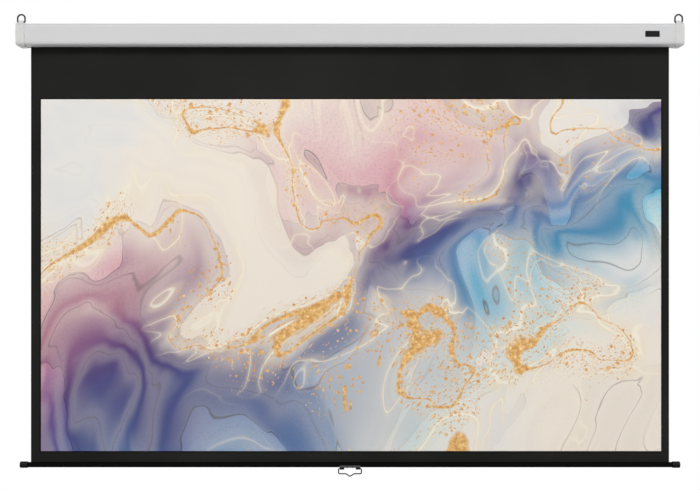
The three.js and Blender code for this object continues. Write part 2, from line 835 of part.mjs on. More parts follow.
function sprungPlug() {
  const bore = shaftRadius + fitGap;
  const body = plugBody(bore, []);
  const hub = sleeve(bore, hubRadius, springEnd - hubLength / 2, plugInner + hubLength / 2);
  const pinHoles = pawlPlaces.map(([y, z]) =>
    rodAlongX(
      pawlPinRadius + fitGap, flangeFace - pawlPinGrip - fitGap, flangeFace + cutOverrun, y, z,
    ),
  );
  return cut(join(body, hub), plugRivetHole(), ...pinHoles);
}

function idlePlug() {
  const bore = idlePinRadius + fitGap;
  const spacerEnd = plateInner - bushFlangeThickness - 2 * fitGap;
  const outer = [
    [flangeFace, spacerRadius],
    [spacerEnd, spacerRadius],
    [spacerEnd, bore],
  ];
  return cut(plugBody(bore, outer), plugRivetHole());
}

function idlePin() {
  return rodAlongX(idlePinRadius, flangeFace - idlePinGrip, plateOuter + idlePinReach);
}

function guideDisc() {
  return sleeve(shaftRadius + fitGap, plugRadius, guideStart, guideStart + guideThickness);
}

// The turns of fabric that stay on the roller: one strip that spirals in from the rear.
function fabricRoll() {
  const steps = turnsLeftOnRoller * turnSteps;
  const edge = (i, thickness) => {
    const angle = (2 * Math.PI * i) / turnSteps;
    const radius = fabricInner - (turnSpacing * i) / turnSteps + thickness;
    return [radius * Math.cos(angle), radius * Math.sin(angle)];
  };
  const shape = new THREE.Shape();
  shape.moveTo(...edge(0, fabricThickness));
  for (let i = 1; i <= steps; i += 1) shape.lineTo(...edge(i, fabricThickness));
  for (let i = steps; i >= 0; i -= 1) shape.lineTo(...edge(i, 0));
  return prismAlongX(shape, -fabricEnd, fabricEnd);
}

// The pivots of the two pawls, (y, z), opposite each other on the plug.
const pawlPlaces = [
  [-pawlPivotOut, pawlPivotUp],
  [pawlPivotOut, -pawlPivotUp],
];
const pawlPinGrip = plugFlangeThickness - 2 * fitGap; // length held in the flange
const pawlFace = shaftEnd + fitGap + (ratchetThickness - fitGap - pawlThickness) / 2;

function pawlPin() {
  const headStart = pawlFace + pawlThickness + fitGap;
  const profile = [
    [flangeFace - pawlPinGrip, 0],
    [flangeFace - pawlPinGrip, pawlPinRadius],
    [headStart, pawlPinRadius],
    [headStart, pawlPinHeadRadius],
    [headStart + pawlPinHeadHeight, pawlPinHeadRadius],
    [headStart + pawlPinHeadHeight, 0],
  ];
  return turnedAlongX(profile, smallSides);
}

// A pawl about its own pivot, as it lies when its nose is in the notch.
function pawl() {
  const [half, tip] = [noseWidth / 2, noseTipRadius - pawlPivotUp];
  const shape = new THREE.Shape();
  shape.absarc(0, 0, pawlHubRadius, Math.PI / 2, 1.5 * Math.PI);
  shape.lineTo(pawlPivotOut - half, -pawlArmDepth);
  shape.lineTo(pawlPivotOut - half, tip);
  shape.lineTo(pawlPivotOut + half, tip);
  shape.lineTo(pawlPivotOut + half, -pawlShoulderDrop);
  shape.closePath();
  const body = prismAlongX(shape, pawlFace, pawlFace + pawlThickness);
  return cut(body, rodAlongX(pawlPinRadius + fitGap, flangeFace, plateInner));
}

function addRoller(screen) {
  const roller = groupAt(0, 0, 0);
  addPiece(roller, "roller_tube", rollerTube(), zincSteel);
  addPiece(roller, "roller_plug_right", sprungPlug(), greySteel);
  addPiece(roller, "roller_plug_left", mirrored(idlePlug()), paleNylon);
  addPiece(roller, "idle_pin", mirrored(idlePin()), zincSteel);
  addPiece(roller, "shaft_guide_disc", guideDisc(), paleNylon);
  addPiece(roller, "plug_rivet_right", plugRivet(), zincSteel);
  addPiece(roller, "plug_rivet_left", mirrored(plugRivet()), zincSteel);
  addPiece(roller, "fabric_roll", fabricRoll(), blackCloth);
  pawlPlaces.forEach(([y, z], i) => {
    const name = ["upper", "lower"][i];
    const pivot = groupAt(0, y, z);
    addPiece(pivot, `pawl_pin_${name}`, pawlPin(), zincSteel);
    const swing = groupAt(0, 0, 0);
    swing.rotation.x = radians(pawlLiftDegrees) + i * Math.PI;
    addPiece(swing, `pawl_${name}`, pawl(), greySteel);
    pivot.add(swing);
    roller.add(pivot);
  });
  screen.add(roller);
}

// Where the hem pocket hangs inside the bar, above the bar's axis
const barInner = barRadius - barWall;
const hemOuter = splineRadius + fitGap + fabricThickness;
const hemRise = barInner - hemOuter - fitGap;

// The hanging sheet, with the pocket at its lower edge that holds the rod.
function fabricSheet() {
  const half = fabricThickness / 2;
  const pocketZ = barZ + hemRise;
  const turn = Math.asin(half / hemOuter);
  const shape = new THREE.Shape();
  shape.moveTo(half, -fitGap);
  shape.lineTo(-half, -fitGap);
  shape.absarc(0, pocketZ, hemOuter, Math.PI / 2 + turn, 2.5 * Math.PI - turn);
  shape.closePath();
  const hole = new THREE.Path();
  hole.absarc(0, pocketZ, splineRadius + fitGap, 0, 2 * Math.PI);
  shape.holes.push(hole);
  return prismAlongX(shape, -fabricEnd, fabricEnd, roundSides);
}

function viewingSurface() {
  const half = viewWidth / 2;
  const back = -fabricThickness / 2;
  return block(
    viewOffset - half, viewOffset + half, back - coatingThickness, back, viewBottom, viewTop,
  );
}

function addFabric(screen) {
  const fabric = groupAt(0, fabricY, 0);
  addPiece(fabric, "fabric_sheet", fabricSheet(), blackCloth);
  addPiece(fabric, "viewing_surface", viewingSurface(), screenWhite);
  screen.add(fabric);
}

// Places along X of what goes through the bar's underside at the handle
const blockOuterX = saddleWidth / 2 - blockEdgeInset;
const blockInnerX = blockOuterX - blockWidth;
const pegX = blockInnerX + pegInset;
const bracketRivetX = bracketRivetSpacing / 2;
const saddleInner = barRadius + fitGap;
const saddleOuter = saddleInner + saddleThickness;

function underHoles() {
  const hole = (radius, x) =>
    rodAlongZ(radius + fitGap, -saddleOuter - cutOverrun, -barInner + barWall, x, 0);
  return [-1, 1].flatMap((side) => [
    hole(pegRadius, side * pegX),
    hole(bracketRivetRadius, side * bracketRivetX),
  ]);
}

// The weight bar: a tube with a slot along its top.
function weightBar() {
  const end = barEnd - barCapEndWall - fitGap;
  const outerTurn = Math.asin(barSlotWidth / 2 / barRadius);
  const innerTurn = Math.asin(barSlotWidth / 2 / barInner);
  const shape = new THREE.Shape();
  shape.absarc(0, 0, barRadius, Math.PI / 2 + outerTurn, 2.5 * Math.PI - outerTurn);
  shape.absarc(0, 0, barInner, 2.5 * Math.PI - innerTurn, Math.PI / 2 + innerTurn, true);
  shape.closePath();
  return cut(prismAlongX(shape, -end, end, roundSides), ...underHoles());
}

function barCap() {
  const start = barEnd - barCapLength;
  const bore = barRadius + fitGap;
  const rounding = [];
  for (let i = 0; i <= cornerSteps; i += 1) {
    const angle = (Math.PI / 2) * (i / cornerSteps);
    rounding.push([
      barEnd - barCapRounding * (1 - Math.sin(angle)),
      barCapRadius - barCapRounding * (1 - Math.cos(angle)),
    ]);
  }
  const profile = [
    [barEnd - barCapEndWall, 0],
    [barEnd - barCapEndWall, bore],
    [start, bore],
    [start, barCapRadius - barCapLip],
    [start + barCapLip, barCapRadius],
    ...rounding,
    [barEnd, 0],
  ];
  return turnedAlongX(profile);
}

function hemSpline() {
  return rodAlongX(splineRadius, -fabricEnd, fabricEnd, 0, hemRise);
}

// The strap under the bar that carries the handle's two pivot blocks.
function bracketSaddle() {
  const [start, end] = [radians(saddleFrontDegrees), radians(saddleRearDegrees)];
  const shape = new THREE.Shape();
  shape.absarc(0, 0, saddleOuter, start, end);
  shape.absarc(0, 0, saddleInner, end, start, true);
  shape.closePath();
  const half = saddleWidth / 2;
  return cut(prismAlongX(shape, -half, half, smallSides), ...underHoles());
}

function bracketRivet() {
  const rivet = fastener(
    bracketRivetRadius, bracketRivetLength, bracketRivetHeadRadius, bracketRivetHeadHeight, 0,
  );
  rivet.rotateY(-Math.PI / 2);
  return rivet.translate(bracketRivetX, 0, -saddleOuter - fitGap);
}

const pivotZ = -barRadius - handlePivotDrop;

// The right-hand pivot block: its peg goes up through the strap and the bar.
function pivotBlock() {
  const seat = saddleOuter + fitGap;
  const turn = Math.asin(blockTopWidth / 2 / seat);
  const shape = new THREE.Shape();
  shape.absarc(0, 0, seat, 1.5 * Math.PI + turn, 1.5 * Math.PI - turn, true);
  shape.absarc(0, pivotZ, blockRadius, Math.PI, 2 * Math.PI);
  shape.closePath();
  const body = prismAlongX(shape, blockInnerX, blockOuterX, smallSides);
  const peg = rodAlongZ(pegRadius, pivotZ, pivotZ + pegRise, pegX, 0);
  const bore = rodAlongX(
    handleWireRadius + fitGap, blockOuterX - blockBoreDepth, blockOuterX + cutOverrun,
    0, pivotZ,
  );
  return cut(join(body, peg), bore);
}

// The bail about its pivots: two ears, a lower run and the dip in its middle.
function pullHandle() {
  const side = blockOuterX + handleSideGap + handleWireRadius;
  const innerX = blockOuterX - blockBoreDepth + fitGap;
  const dip = handleDipWidth / 2;
  const right = [
    [innerX, 0],
    [side, 0],
    [side, -handleDrop],
    [dip, -handleDrop],
  ];
  const left = right.map(([x, z]) => [-x, z]).reverse();
  const corners = [...right, [0, -handleDrop - handleDipDepth], ...left];
  const bends = [
    handleBend, handleBend, handleDipBend, handleDipBend, handleDipBend, handleBend, handleBend,
  ];
  const path = roundedPath(corners.map(([x, z]) => new THREE.Vector2(x, z)), bends);
  return wireAlong(new BentWire(path), handleWireRadius, handleSteps, wireSides);
}

function addBar(screen) {
  const bar = groupAt(0, fabricY, barZ);
  addPiece(bar, "weight_bar", weightBar(), blackPaint);
  addPiece(bar, "bar_cap_right", barCap(), mouldedBlack);
  addPiece(bar, "bar_cap_left", mirrored(barCap()), mouldedBlack);
  addPiece(bar, "hem_spline", hemSpline(), paleNylon);
  addPiece(bar, "handle_bracket", bracketSaddle(), greySteel);
  addPiece(bar, "bracket_rivet_right", bracketRivet(), greySteel);
  addPiece(bar, "bracket_rivet_left", mirrored(bracketRivet()), greySteel);
  addPiece(bar, "pivot_block_right", pivotBlock(), mouldedBlack);
  addPiece(bar, "pivot_block_left", mirrored(pivotBlock()), mouldedBlack);
  const handle = groupAt(0, 0, pivotZ);
  addPiece(handle, "pull_handle", pullHandle(), darkWire);
  bar.add(handle);
  screen.add(bar);
}

const screen = groupAt(0, 0, -hookZ);
addHousing(screen);
addSpringMotor(screen);
addRoller(screen);
addFabric(screen);
addBar(screen);

export default screen;
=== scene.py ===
"""Dresses a pull-down projection screen for a studio picture.

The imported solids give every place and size. Lengths are in metres: +Z is up, +X runs along the
housing to the right of someone who faces the screen, and +Y points at the wall behind it. Fine
meshes stand for the solids that show, and the solids inside the housing keep their own shape
and get a finish.
"""

import json
import logging
import math
from collections.abc import Sequence
from dataclasses import dataclass
from enum import Enum
from functools import cache

import bmesh
import bpy
from mathutils import Matrix, Vector


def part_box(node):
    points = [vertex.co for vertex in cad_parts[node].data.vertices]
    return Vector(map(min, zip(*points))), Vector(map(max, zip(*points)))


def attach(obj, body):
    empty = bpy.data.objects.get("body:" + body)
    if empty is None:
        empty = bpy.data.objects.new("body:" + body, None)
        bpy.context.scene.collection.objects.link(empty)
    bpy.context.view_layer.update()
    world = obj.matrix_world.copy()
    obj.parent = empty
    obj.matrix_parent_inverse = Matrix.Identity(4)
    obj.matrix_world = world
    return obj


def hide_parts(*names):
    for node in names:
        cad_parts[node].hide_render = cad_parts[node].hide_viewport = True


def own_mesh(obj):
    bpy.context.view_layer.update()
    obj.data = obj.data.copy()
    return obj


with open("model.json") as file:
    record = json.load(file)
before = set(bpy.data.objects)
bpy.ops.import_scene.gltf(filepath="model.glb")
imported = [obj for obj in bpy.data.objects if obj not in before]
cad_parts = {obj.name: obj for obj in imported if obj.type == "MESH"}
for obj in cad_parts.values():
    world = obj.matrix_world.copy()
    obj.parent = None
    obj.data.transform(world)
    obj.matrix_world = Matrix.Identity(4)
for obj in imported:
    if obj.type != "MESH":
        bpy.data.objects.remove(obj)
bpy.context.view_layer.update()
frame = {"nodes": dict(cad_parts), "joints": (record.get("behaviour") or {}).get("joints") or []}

Point = tuple[float, float]
Colour = tuple[float, float, float, float]
Triple = tuple[float, float, float]
Socket = bpy.types.NodeSocket
Tree = bpy.types.NodeTree
Feed = Socket | float | Sequence[float]

logging.basicConfig(level=logging.INFO, format="%(message)s")
log = logging.getLogger("projection_screen")

MM = 0.001
FIT_GAP = 0.3 * MM
OVERRUN = 5 * MM
SHARP_ANGLE = 40
EASE_SHARE = 0.3
TIP_STEPS = 3
THREADS_PER_METRE = 1300.0
WHITE = (1.0, 1.0, 1.0, 1.0)


class Body(Enum):
    """The bodies that the pieces ride on."""

    HOUSING = "housing"
    ROLLER = "roller"
    RIGHT_RING = "right_ring"
    LEFT_RING = "left_ring"
    BOTTOM_BAR = "bottom_bar"
    BAIL = "bail"


class Slot(Enum):
    """The record's material slots."""

    COATED_STEEL = "coated_steel"
    WHITE_PLASTIC = "white_plastic"
    BLACK_PLASTIC = "black_plastic"
    BLACK_CLOTH = "black_cloth"
    SCREEN_WHITE = "screen_white"
    BAR_PAINT = "bar_paint"
    DARK_WIRE = "dark_wire"
    GREY_STEEL = "grey_steel"
    ZINC_STEEL = "zinc_steel"
    NYLON = "nylon"


class Side(Enum):
    """The two ends of the screen, each with the sign of its places along X."""

    RIGHT = 1
    LEFT = -1

    @property
    def word(self) -> str:
        """The side's name as pieces carry it."""
        return self.name.lower()


@dataclass(frozen=True)
class Extent:
    """The box that a solid fills at rest."""

    low: Vector
    high: Vector

    @classmethod
    @cache
    def of(cls, node: str) -> "Extent":
        """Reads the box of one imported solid, by its name."""
        low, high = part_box(node)
        return cls(low, high)

    @property
    def middle(self) -> Vector:
        """The middle of the box."""
        return (self.low + self.high) / 2

    @property
    def size(self) -> Vector:
        """The box's three sides."""
        return self.high - self.low


def joint_of(name: str) -> dict:
    """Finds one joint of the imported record."""
    return next(each for each in frame["joints"] if each["name"] == name)


def pivot_of(joint: str) -> Vector:
    """Finds a point on the axis that a hinge turns about."""
    return Vector(joint_of(joint)["pos_m"])


def arc(centre: Point, radius: float, start: float, end: float, steps: int) -> list[Point]:
    """Works out an arc's points, both ends included, between two angles in degrees."""
    angles = [math.radians(start + (end - start) * i / steps) for i in range(steps + 1)]
    return [(centre[0] + radius * math.cos(a), centre[1] + radius * math.sin(a)) for a in angles]


def bent_path(corners: Sequence[Point], bends: Sequence[float], steps: int) -> list[Point]:
    """Runs a path through corners and rounds each one.

    Args:
        corners: The path's ends and the corners between them.
        bends: How far before each corner its bend starts.
        steps: The straight runs in one bend.

    Returns:
        The points of the path.
    """
    points = [corners[0]]
    for before, corner, after, bend in zip(corners, corners[1:], corners[2:], bends):
        tip = Vector(corner)
        start = tip + (Vector(before) - tip).normalized() * bend
        end = tip + (Vector(after) - tip).normalized() * bend
        for i in range(steps + 1):
            share = i / steps
            point = start * (1 - share) ** 2 + tip * 2 * share * (1 - share) + end * share**2
            points.append((point.x, point.y))
    points.append(corners[-1])
    return points


def length_of(line: Sequence[Point]) -> float:
    """Adds up the straight runs of a line."""
    return sum((Vector(a) - Vector(b)).length for a, b in zip(line, line[1:]))


def section_at_x(x: float, outline: Sequence[Point]) -> list[Vector]:
    """Stands an outline drawn across and up, (y, z), at a place on X."""
    return [Vector((x, y, z)) for y, z in outline]


def section_at_y(y: float, outline: Sequence[Point]) -> list[Vector]:
    """Stands an outline drawn along and up, (x, z), at a place on Y."""
    return [Vector((x, y, z)) for x, z in outline]


def eased(start: float, full: float, edge: float) -> list[Point]:
    """Starts a profile that stands out fully past an edge eased in two slopes."""
    part = edge * EASE_SHARE
    return [(start, full - edge), (start + part, full - part), (start + edge, full)]


def domed(height: float, radius: float, angles: Sequence[float], shank: float) -> list[Point]:
    """Draws a domed head from its top, and where its shank starts; angles are in radians."""
    dome = [(height * (1 - math.sin(a)), radius * math.cos(a)) for a in angles]
    return [*dome, (height, radius), (height, shank)]


class Form:
    """A closed mesh in the making."""

    def __init__(self) -> None:
        """Starts an empty form."""
        self.mesh = bmesh.new()

    @classmethod
    def skin(cls, rings: Sequence[Sequence[Vector]]) -> "Form":
        """Skins a row of rings that have as many points each, and closes both ends.

        Args:
            rings: The rings, each a closed loop of points.

        Returns:
            The closed form.
        """
        form = cls()
        made = [[form.mesh.verts.new(point) for point in ring] for ring in rings]
        for first, second in zip(made, made[1:]):
            for i, corner in enumerate(first):
                j = (i + 1) % len(first)
                form.mesh.faces.new((corner, first[j], second[j], second[i]))
        form.mesh.faces.new(made[0][::-1])
        form.mesh.faces.new(made[-1])
        bmesh.ops.recalc_face_normals(form.mesh, faces=form.mesh.faces)
        return form

    @classmethod
    def along_x(cls, outline: Sequence[Point], start: float, end: float) -> "Form":
        """Carries a closed outline drawn across and up, (y, z), along X."""
        return cls.skin([section_at_x(x, outline) for x in (start, end)])

    @classmethod
    def along_y(cls, outline: Sequence[Point], start: float, end: float) -> "Form":
        """Carries a closed outline drawn along and up, (x, z), along Y."""
        return cls.skin([section_at_y(y, outline) for y in (start, end)])

    @classmethod
    def turned(cls, profile: Sequence[Point], sides: int) -> "Form":
        """Turns a profile of places along X and radii round the X axis."""
        circles = [(x, arc((0, 0), radius, 0, 360, sides)[:-1]) for x, radius in profile]
        return cls.skin([section_at_x(x, circle) for x, circle in circles])

    @classmethod
    def rod(cls, radius: float, start: float, end: float, sides: int) -> "Form":
        """Makes a plain round rod on the X axis."""
        return cls.turned([(start, radius), (end, radius)], sides)

    @classmethod
    def wire(cls, path: Sequence[Vector], radius: float, sides: int, tip: float) -> "Form":
        """Sweeps a round wire along a path, with softened tips.

        Args:
            path: The points of the wire's middle.
            radius: The wire's radius.
            sides: The sides of its section.
            tip: The rounding at both ends.

        Returns:
            The wire.
        """
        runs = [(b - a).normalized() for a, b in zip(path, path[1:])]
        ways = [runs[0], *((a + b).normalized() for a, b in zip(runs, runs[1:])), runs[-1]]
        across = ways[0].orthogonal().normalized()
        sections = []
        for point, way in zip(path, ways):
            across = (across - way * across.dot(way)).normalized()
            sections.append((point, way, across))
        first, last = sections[0], sections[-1]
        starts, ends = [], []
        for i in range(TIP_STEPS):
            angle = math.pi / 2 * i / TIP_STEPS
            back = tip * (1 - math.sin(angle))
            width = radius - tip * (1 - math.cos(math.pi / 2 - angle))
            starts.append((first[0] + first[1] * (back - tip), first[1], first[2], width))
            ends.append((last[0] - last[1] * (back - tip), last[1], last[2], width))
        middle = [(*section, radius) for section in sections]
        rings = []
        for point, way, side, width in [*starts, *middle, *ends[::-1]]:
            other = way.cross(side)
            circle = arc((0, 0), width, 0, 360, sides)[:-1]
            rings.append([point + side * a + other * b for a, b in circle])
        return cls.skin(rings)

    @classmethod
    def block(cls, low: Sequence[float], high: Sequence[float]) -> "Form":
        """Makes a plain cutter from its lowest and highest corners."""
        outline = [(low[1], low[2]), (high[1], low[2]), (high[1], high[2]), (low[1], high[2])]
        return cls.along_x(outline, low[0], high[0])

    def moved(self, offset: Sequence[float]) -> "Form":
        """Moves the form and returns it."""
        bmesh.ops.translate(self.mesh, verts=self.mesh.verts, vec=Vector(offset))
        return self

    def turned_to_z(self) -> "Form":
        """Turns a form made along X so that it points up, and returns it."""
        turn = Matrix.Rotation(-math.pi / 2, 3, "Y")
        bmesh.ops.rotate(self.mesh, verts=self.mesh.verts, cent=Vector(), matrix=turn)
        return self

    def for_side(self, side: Side) -> "Form":
        """Mirrors a right-hand form for the left-hand end.

        Args:
            side: The end that the form is for.

        Returns:
            The same form, mirrored where the side is the left.
        """
        if side is Side.LEFT:
            bmesh.ops.scale(self.mesh, verts=self.mesh.verts, vec=Vector((-1, 1, 1)))
            bmesh.ops.reverse_faces(self.mesh, faces=self.mesh.faces)
        return self

    def softened(
        self, width: float, segments: int = 2, sharper_than: float = SHARP_ANGLE
    ) -> "Form":
        """Rounds every edge that is sharper than an angle.

        Args:
            width: How far the rounding reaches from the edge.
            segments: The faces across one rounding.
            sharper_than: The least angle between faces, in degrees, that counts as an edge.

        Returns:
            The softened form.
        """
        limit = math.radians(sharper_than)
        edges = [edge for edge in self.mesh.edges if edge.calc_face_angle(0) > limit]
        bmesh.ops.bevel(
            self.mesh, geom=edges, offset=width, segments=segments, profile=0.5,
            affect="EDGES", clamp_overlap=True,
        )
        return self

    def carved(self, joins: Sequence["Form"], cuts: Sequence["Form"]) -> "Form":
        """Joins forms to this one and cuts others out of it.

        Args:
            joins: The forms to add.
            cuts: The forms to take away.

        Returns:
            The carved form.
        """
        holder = bpy.data.objects.new("carving", self.as_mesh("carving"))
        tools = []
        for operation, forms in (("UNION", joins), ("DIFFERENCE", cuts)):
            for form in forms:
                tool = bpy.data.objects.new("cutter", form.as_mesh("cutter"))
                modifier = holder.modifiers.new(operation, "BOOLEAN")
                modifier.operation = operation
                modifier.solver = "EXACT"
                modifier.object = tool
                tools.append(tool)
        for each in (holder, *tools):
            bpy.context.scene.collection.objects.link(each)
        graph = bpy.context.evaluated_depsgraph_get()
        result = bpy.data.meshes.new_from_object(holder.evaluated_get(graph), depsgraph=graph)
        for each in (holder, *tools):
            mesh = each.data
            bpy.data.objects.remove(each)
            bpy.data.meshes.remove(mesh)
        form = Form()
        form.mesh.from_mesh(result)
        bpy.data.meshes.remove(result)
        return form

    def as_mesh(self, name: str) -> bpy.types.Mesh:
        """Turns the form into a mesh, smooth but for its sharp edges, and uses it up.

        Args:
            name: The mesh's name.

        Returns:
            The mesh.
        """
        limit = math.radians(SHARP_ANGLE)
        for face in self.mesh.faces:
            face.smooth = True
        for edge in self.mesh.edges:
            edge.smooth = edge.calc_face_angle(0) < limit
        mesh = bpy.data.meshes.new(name)
        self.mesh.to_mesh(mesh)
        self.mesh.free()
        return mesh


def tone(code: str) -> Colour:
    """Turns a screen colour code into the linear colour that shaders take, by the sRGB curve.

    Args:
        code: Six hexadecimal digits, two for each of red, green and blue.

    Returns:
        The colour with full opacity.
    """
    shares = [int(code[i:i + 2], 16) / 255 for i in (0, 2, 4)]
    linear = [s / 12.92 if s <= 0.04045 else ((s + 0.055) / 1.055) ** 2.4 for s in shares]
    return (*linear, 1.0)


@dataclass(frozen=True)
class Noise:
    """Noise with so many features to the metre."""

    scale: Feed
    detail: float = 2.0
    roughness: float = 0.5


@dataclass(frozen=True)
class Band:
    """A range of values, and what the values at its two ends turn into."""

    low: Feed
    high: Feed
    bottom: Feed = 0.0
    top: Feed = 1.0


class Wiring:
    """Adds nodes to one shader tree and joins their sockets."""

    def __init__(self, tree: Tree) -> None:
        """Takes the tree that the nodes go into."""
        self.tree = tree

    def feed(self, socket: Socket, value: Feed) -> None:
        """Links or sets one input.

        Args:
            socket: The input.
            value: An output to link, or the value to set.
        """
        if isinstance(value, Socket):
            self.tree.links.new(value, socket)
        else:
            socket.default_value = value

    def node(
        self, kind: str, feeds: dict[str, Feed] | None = None, **settings: object
    ) -> bpy.types.Node:
        """Adds one node.

        Args:
            kind: The node's type, without the words ShaderNode.
            feeds: What each named input gets.
            **settings: The node's own settings.

        Returns:
            The node.
        """
        made = self.tree.nodes.new("ShaderNode" + kind)
        for name, value in settings.items():
            setattr(made, name, value)
        for name, value in (feeds or {}).items():
            self.feed(made.inputs[name], value)
        return made

    def sum(self, operation: str, *terms: Feed, clamp: bool = False) -> Socket:
        """Does one step of arithmetic.

        Args:
            operation: The Math node's operation.
            *terms: Its one to three terms.
            clamp: True keeps the result between 0 and 1.

        Returns:
            The result.
        """
        made = self.node("Math", operation=operation, use_clamp=clamp)
        for socket, term in zip(made.inputs, terms):
            self.feed(socket, term)
        return made.outputs[0]

    def times(self, first: Feed, second: Feed) -> Socket:
        """Multiplies two values."""
        return self.sum("MULTIPLY", first, second)

    def vector(self, operation: str, first: Feed, second: Feed | None = None) -> Socket:
        """Does one step of arithmetic on vectors.

        Args:
            operation: The Vector Math node's operation.
            first: The first vector.
            second: The second vector, or the number that scales the first.

        Returns:
            A number for a dot product or a length, and otherwise a vector.
        """
        made = self.node("VectorMath", operation=operation)
        self.feed(made.inputs[0], first)
        if second is not None:
            self.feed(made.inputs["Scale" if operation == "SCALE" else 1], second)
        return made.outputs["Value" if operation in ("DOT_PRODUCT", "LENGTH") else "Vector"]

    def part(self, axis: str, vector: Feed) -> Socket:
        """Takes a vector's part along one axis."""
        return self.node("SeparateXYZ", {"Vector": vector}).outputs[axis]

    def normal(self) -> Socket:
        """Returns the surface's own normal."""
        return self.node("NewGeometry").outputs["Normal"]

    def away(self, value: Feed, level: float) -> Socket:
        """Works out how far a value is from a level, which makes a line where it is small."""
        return self.sum("ABSOLUTE", self.sum("SUBTRACT", value, level))

    def blend(self, share: Feed, first: Feed, second: Feed, way: str = "MIX") -> Socket:
        """Mixes two colours.

        Args:
            share: How much of the second colour shows.
            first: The first colour.
            second: The second colour.
            way: The mix node's blend type.

        Returns:
            The mixed colour.
        """
        made = self.node("Mix", data_type="RGBA", blend_type=way, clamp_factor=True)
        sockets = {socket.identifier: socket for socket in made.inputs}
        self.feed(sockets["Factor_Float"], share)
        self.feed(sockets["A_Color"], first)
        self.feed(sockets["B_Color"], second)
        return next(out for out in made.outputs if out.identifier == "Result_Color")

    def mixed(
        self, share: Feed, first: bpy.types.Node, second: bpy.types.Node
    ) -> bpy.types.Node:
        """Mixes what two shader nodes put out.

        Args:
            share: How much of the second shows.
            first: The first node.
            second: The second node.

        Returns:
            The node that mixes them.
        """
        made = self.node("MixShader", {"Fac": share})
        self.feed(made.inputs[1], first.outputs[0])
        self.feed(made.inputs[2], second.outputs[0])
        return made

    def span(self, value: Feed, band: Band) -> Socket:
        """Eases a value from a band's range into its results, and holds it within them."""
        feeds = {
            "Value": value, "From Min": band.low, "From Max": band.high,
            "To Min": band.bottom, "To Max": band.top,
        }
        return self.node("MapRange", feeds, interpolation_type="SMOOTHSTEP").outputs[0]

    def noise(self, place: Feed, noise: Noise, coloured: bool = False) -> Socket:
        """Adds noise, as one value or as three that differ, in a colour."""
        feeds = {
            "Vector": place, "Scale": noise.scale, "Detail": noise.detail,
            "Roughness": noise.roughness,
        }
        return self.node("TexNoise", feeds).outputs[1 if coloured else 0]

    def patches(self, place: Feed, noise: Noise, band: Band) -> Socket:
        """Adds noise that a band turns into patches."""
        return self.span(self.noise(place, noise), band)

    def ramp(self, share: Feed, stops: Sequence[tuple[float, Colour]]) -> Socket:
        """Maps a share onto a row of colours.

        Args:
            share: The share, from 0 to 1.
            stops: Each colour with its place.

        Returns:
            The colour.
        """
        made = self.node("ValToRGB", {"Fac": share})
        elements = made.color_ramp.elements
        while len(elements) < len(stops):
            elements.new(0.5)
        for element, (place, colour) in zip(elements, stops):
            element.position = place
            element.color = colour
        return made.outputs["Color"]


class Effect(Wiring):
    """A shader effect that several finishes share, as a node group."""

    def __init__(self, name: str, values: dict[str, float]) -> None:
        """Makes the group, with a place and its own values for inputs.

        Args:
            name: The effect's name.
            values: Each number that a finish may set, with its usual value.
        """
        super().__init__(bpy.data.node_groups.new(name, "ShaderNodeTree"))
        face = self.tree.interface
        face.new_socket("Place", in_out="INPUT", socket_type="NodeSocketVector")
        for label, value in values.items():
            socket = face.new_socket(label, in_out="INPUT", socket_type="NodeSocketFloat")
            socket.default_value = value
        self.given = self.tree.nodes.new("NodeGroupInput").outputs
        self.place = self.given["Place"]

    def giving(self, **results: Socket) -> Tree:
        """Puts out the results, each a single number.

        Args:
            **results: Each output with its value.

        Returns:
            The finished group.
        """
        for label in results:
            self.tree.interface.new_socket(label, in_out="OUTPUT", socket_type="NodeSocketFloat")
        ends = self.tree.nodes.new("NodeGroupOutput").inputs
        for label, value in results.items():
            self.feed(ends[label], value)
        return self.tree

    def masking(self, share: Socket) -> Tree:
        """Puts out a share times the amount that a finish asks for, as a mask."""
        mask = self.sum("MULTIPLY", share, self.given["Amount"], clamp=True)
        return self.giving(Mask=mask)


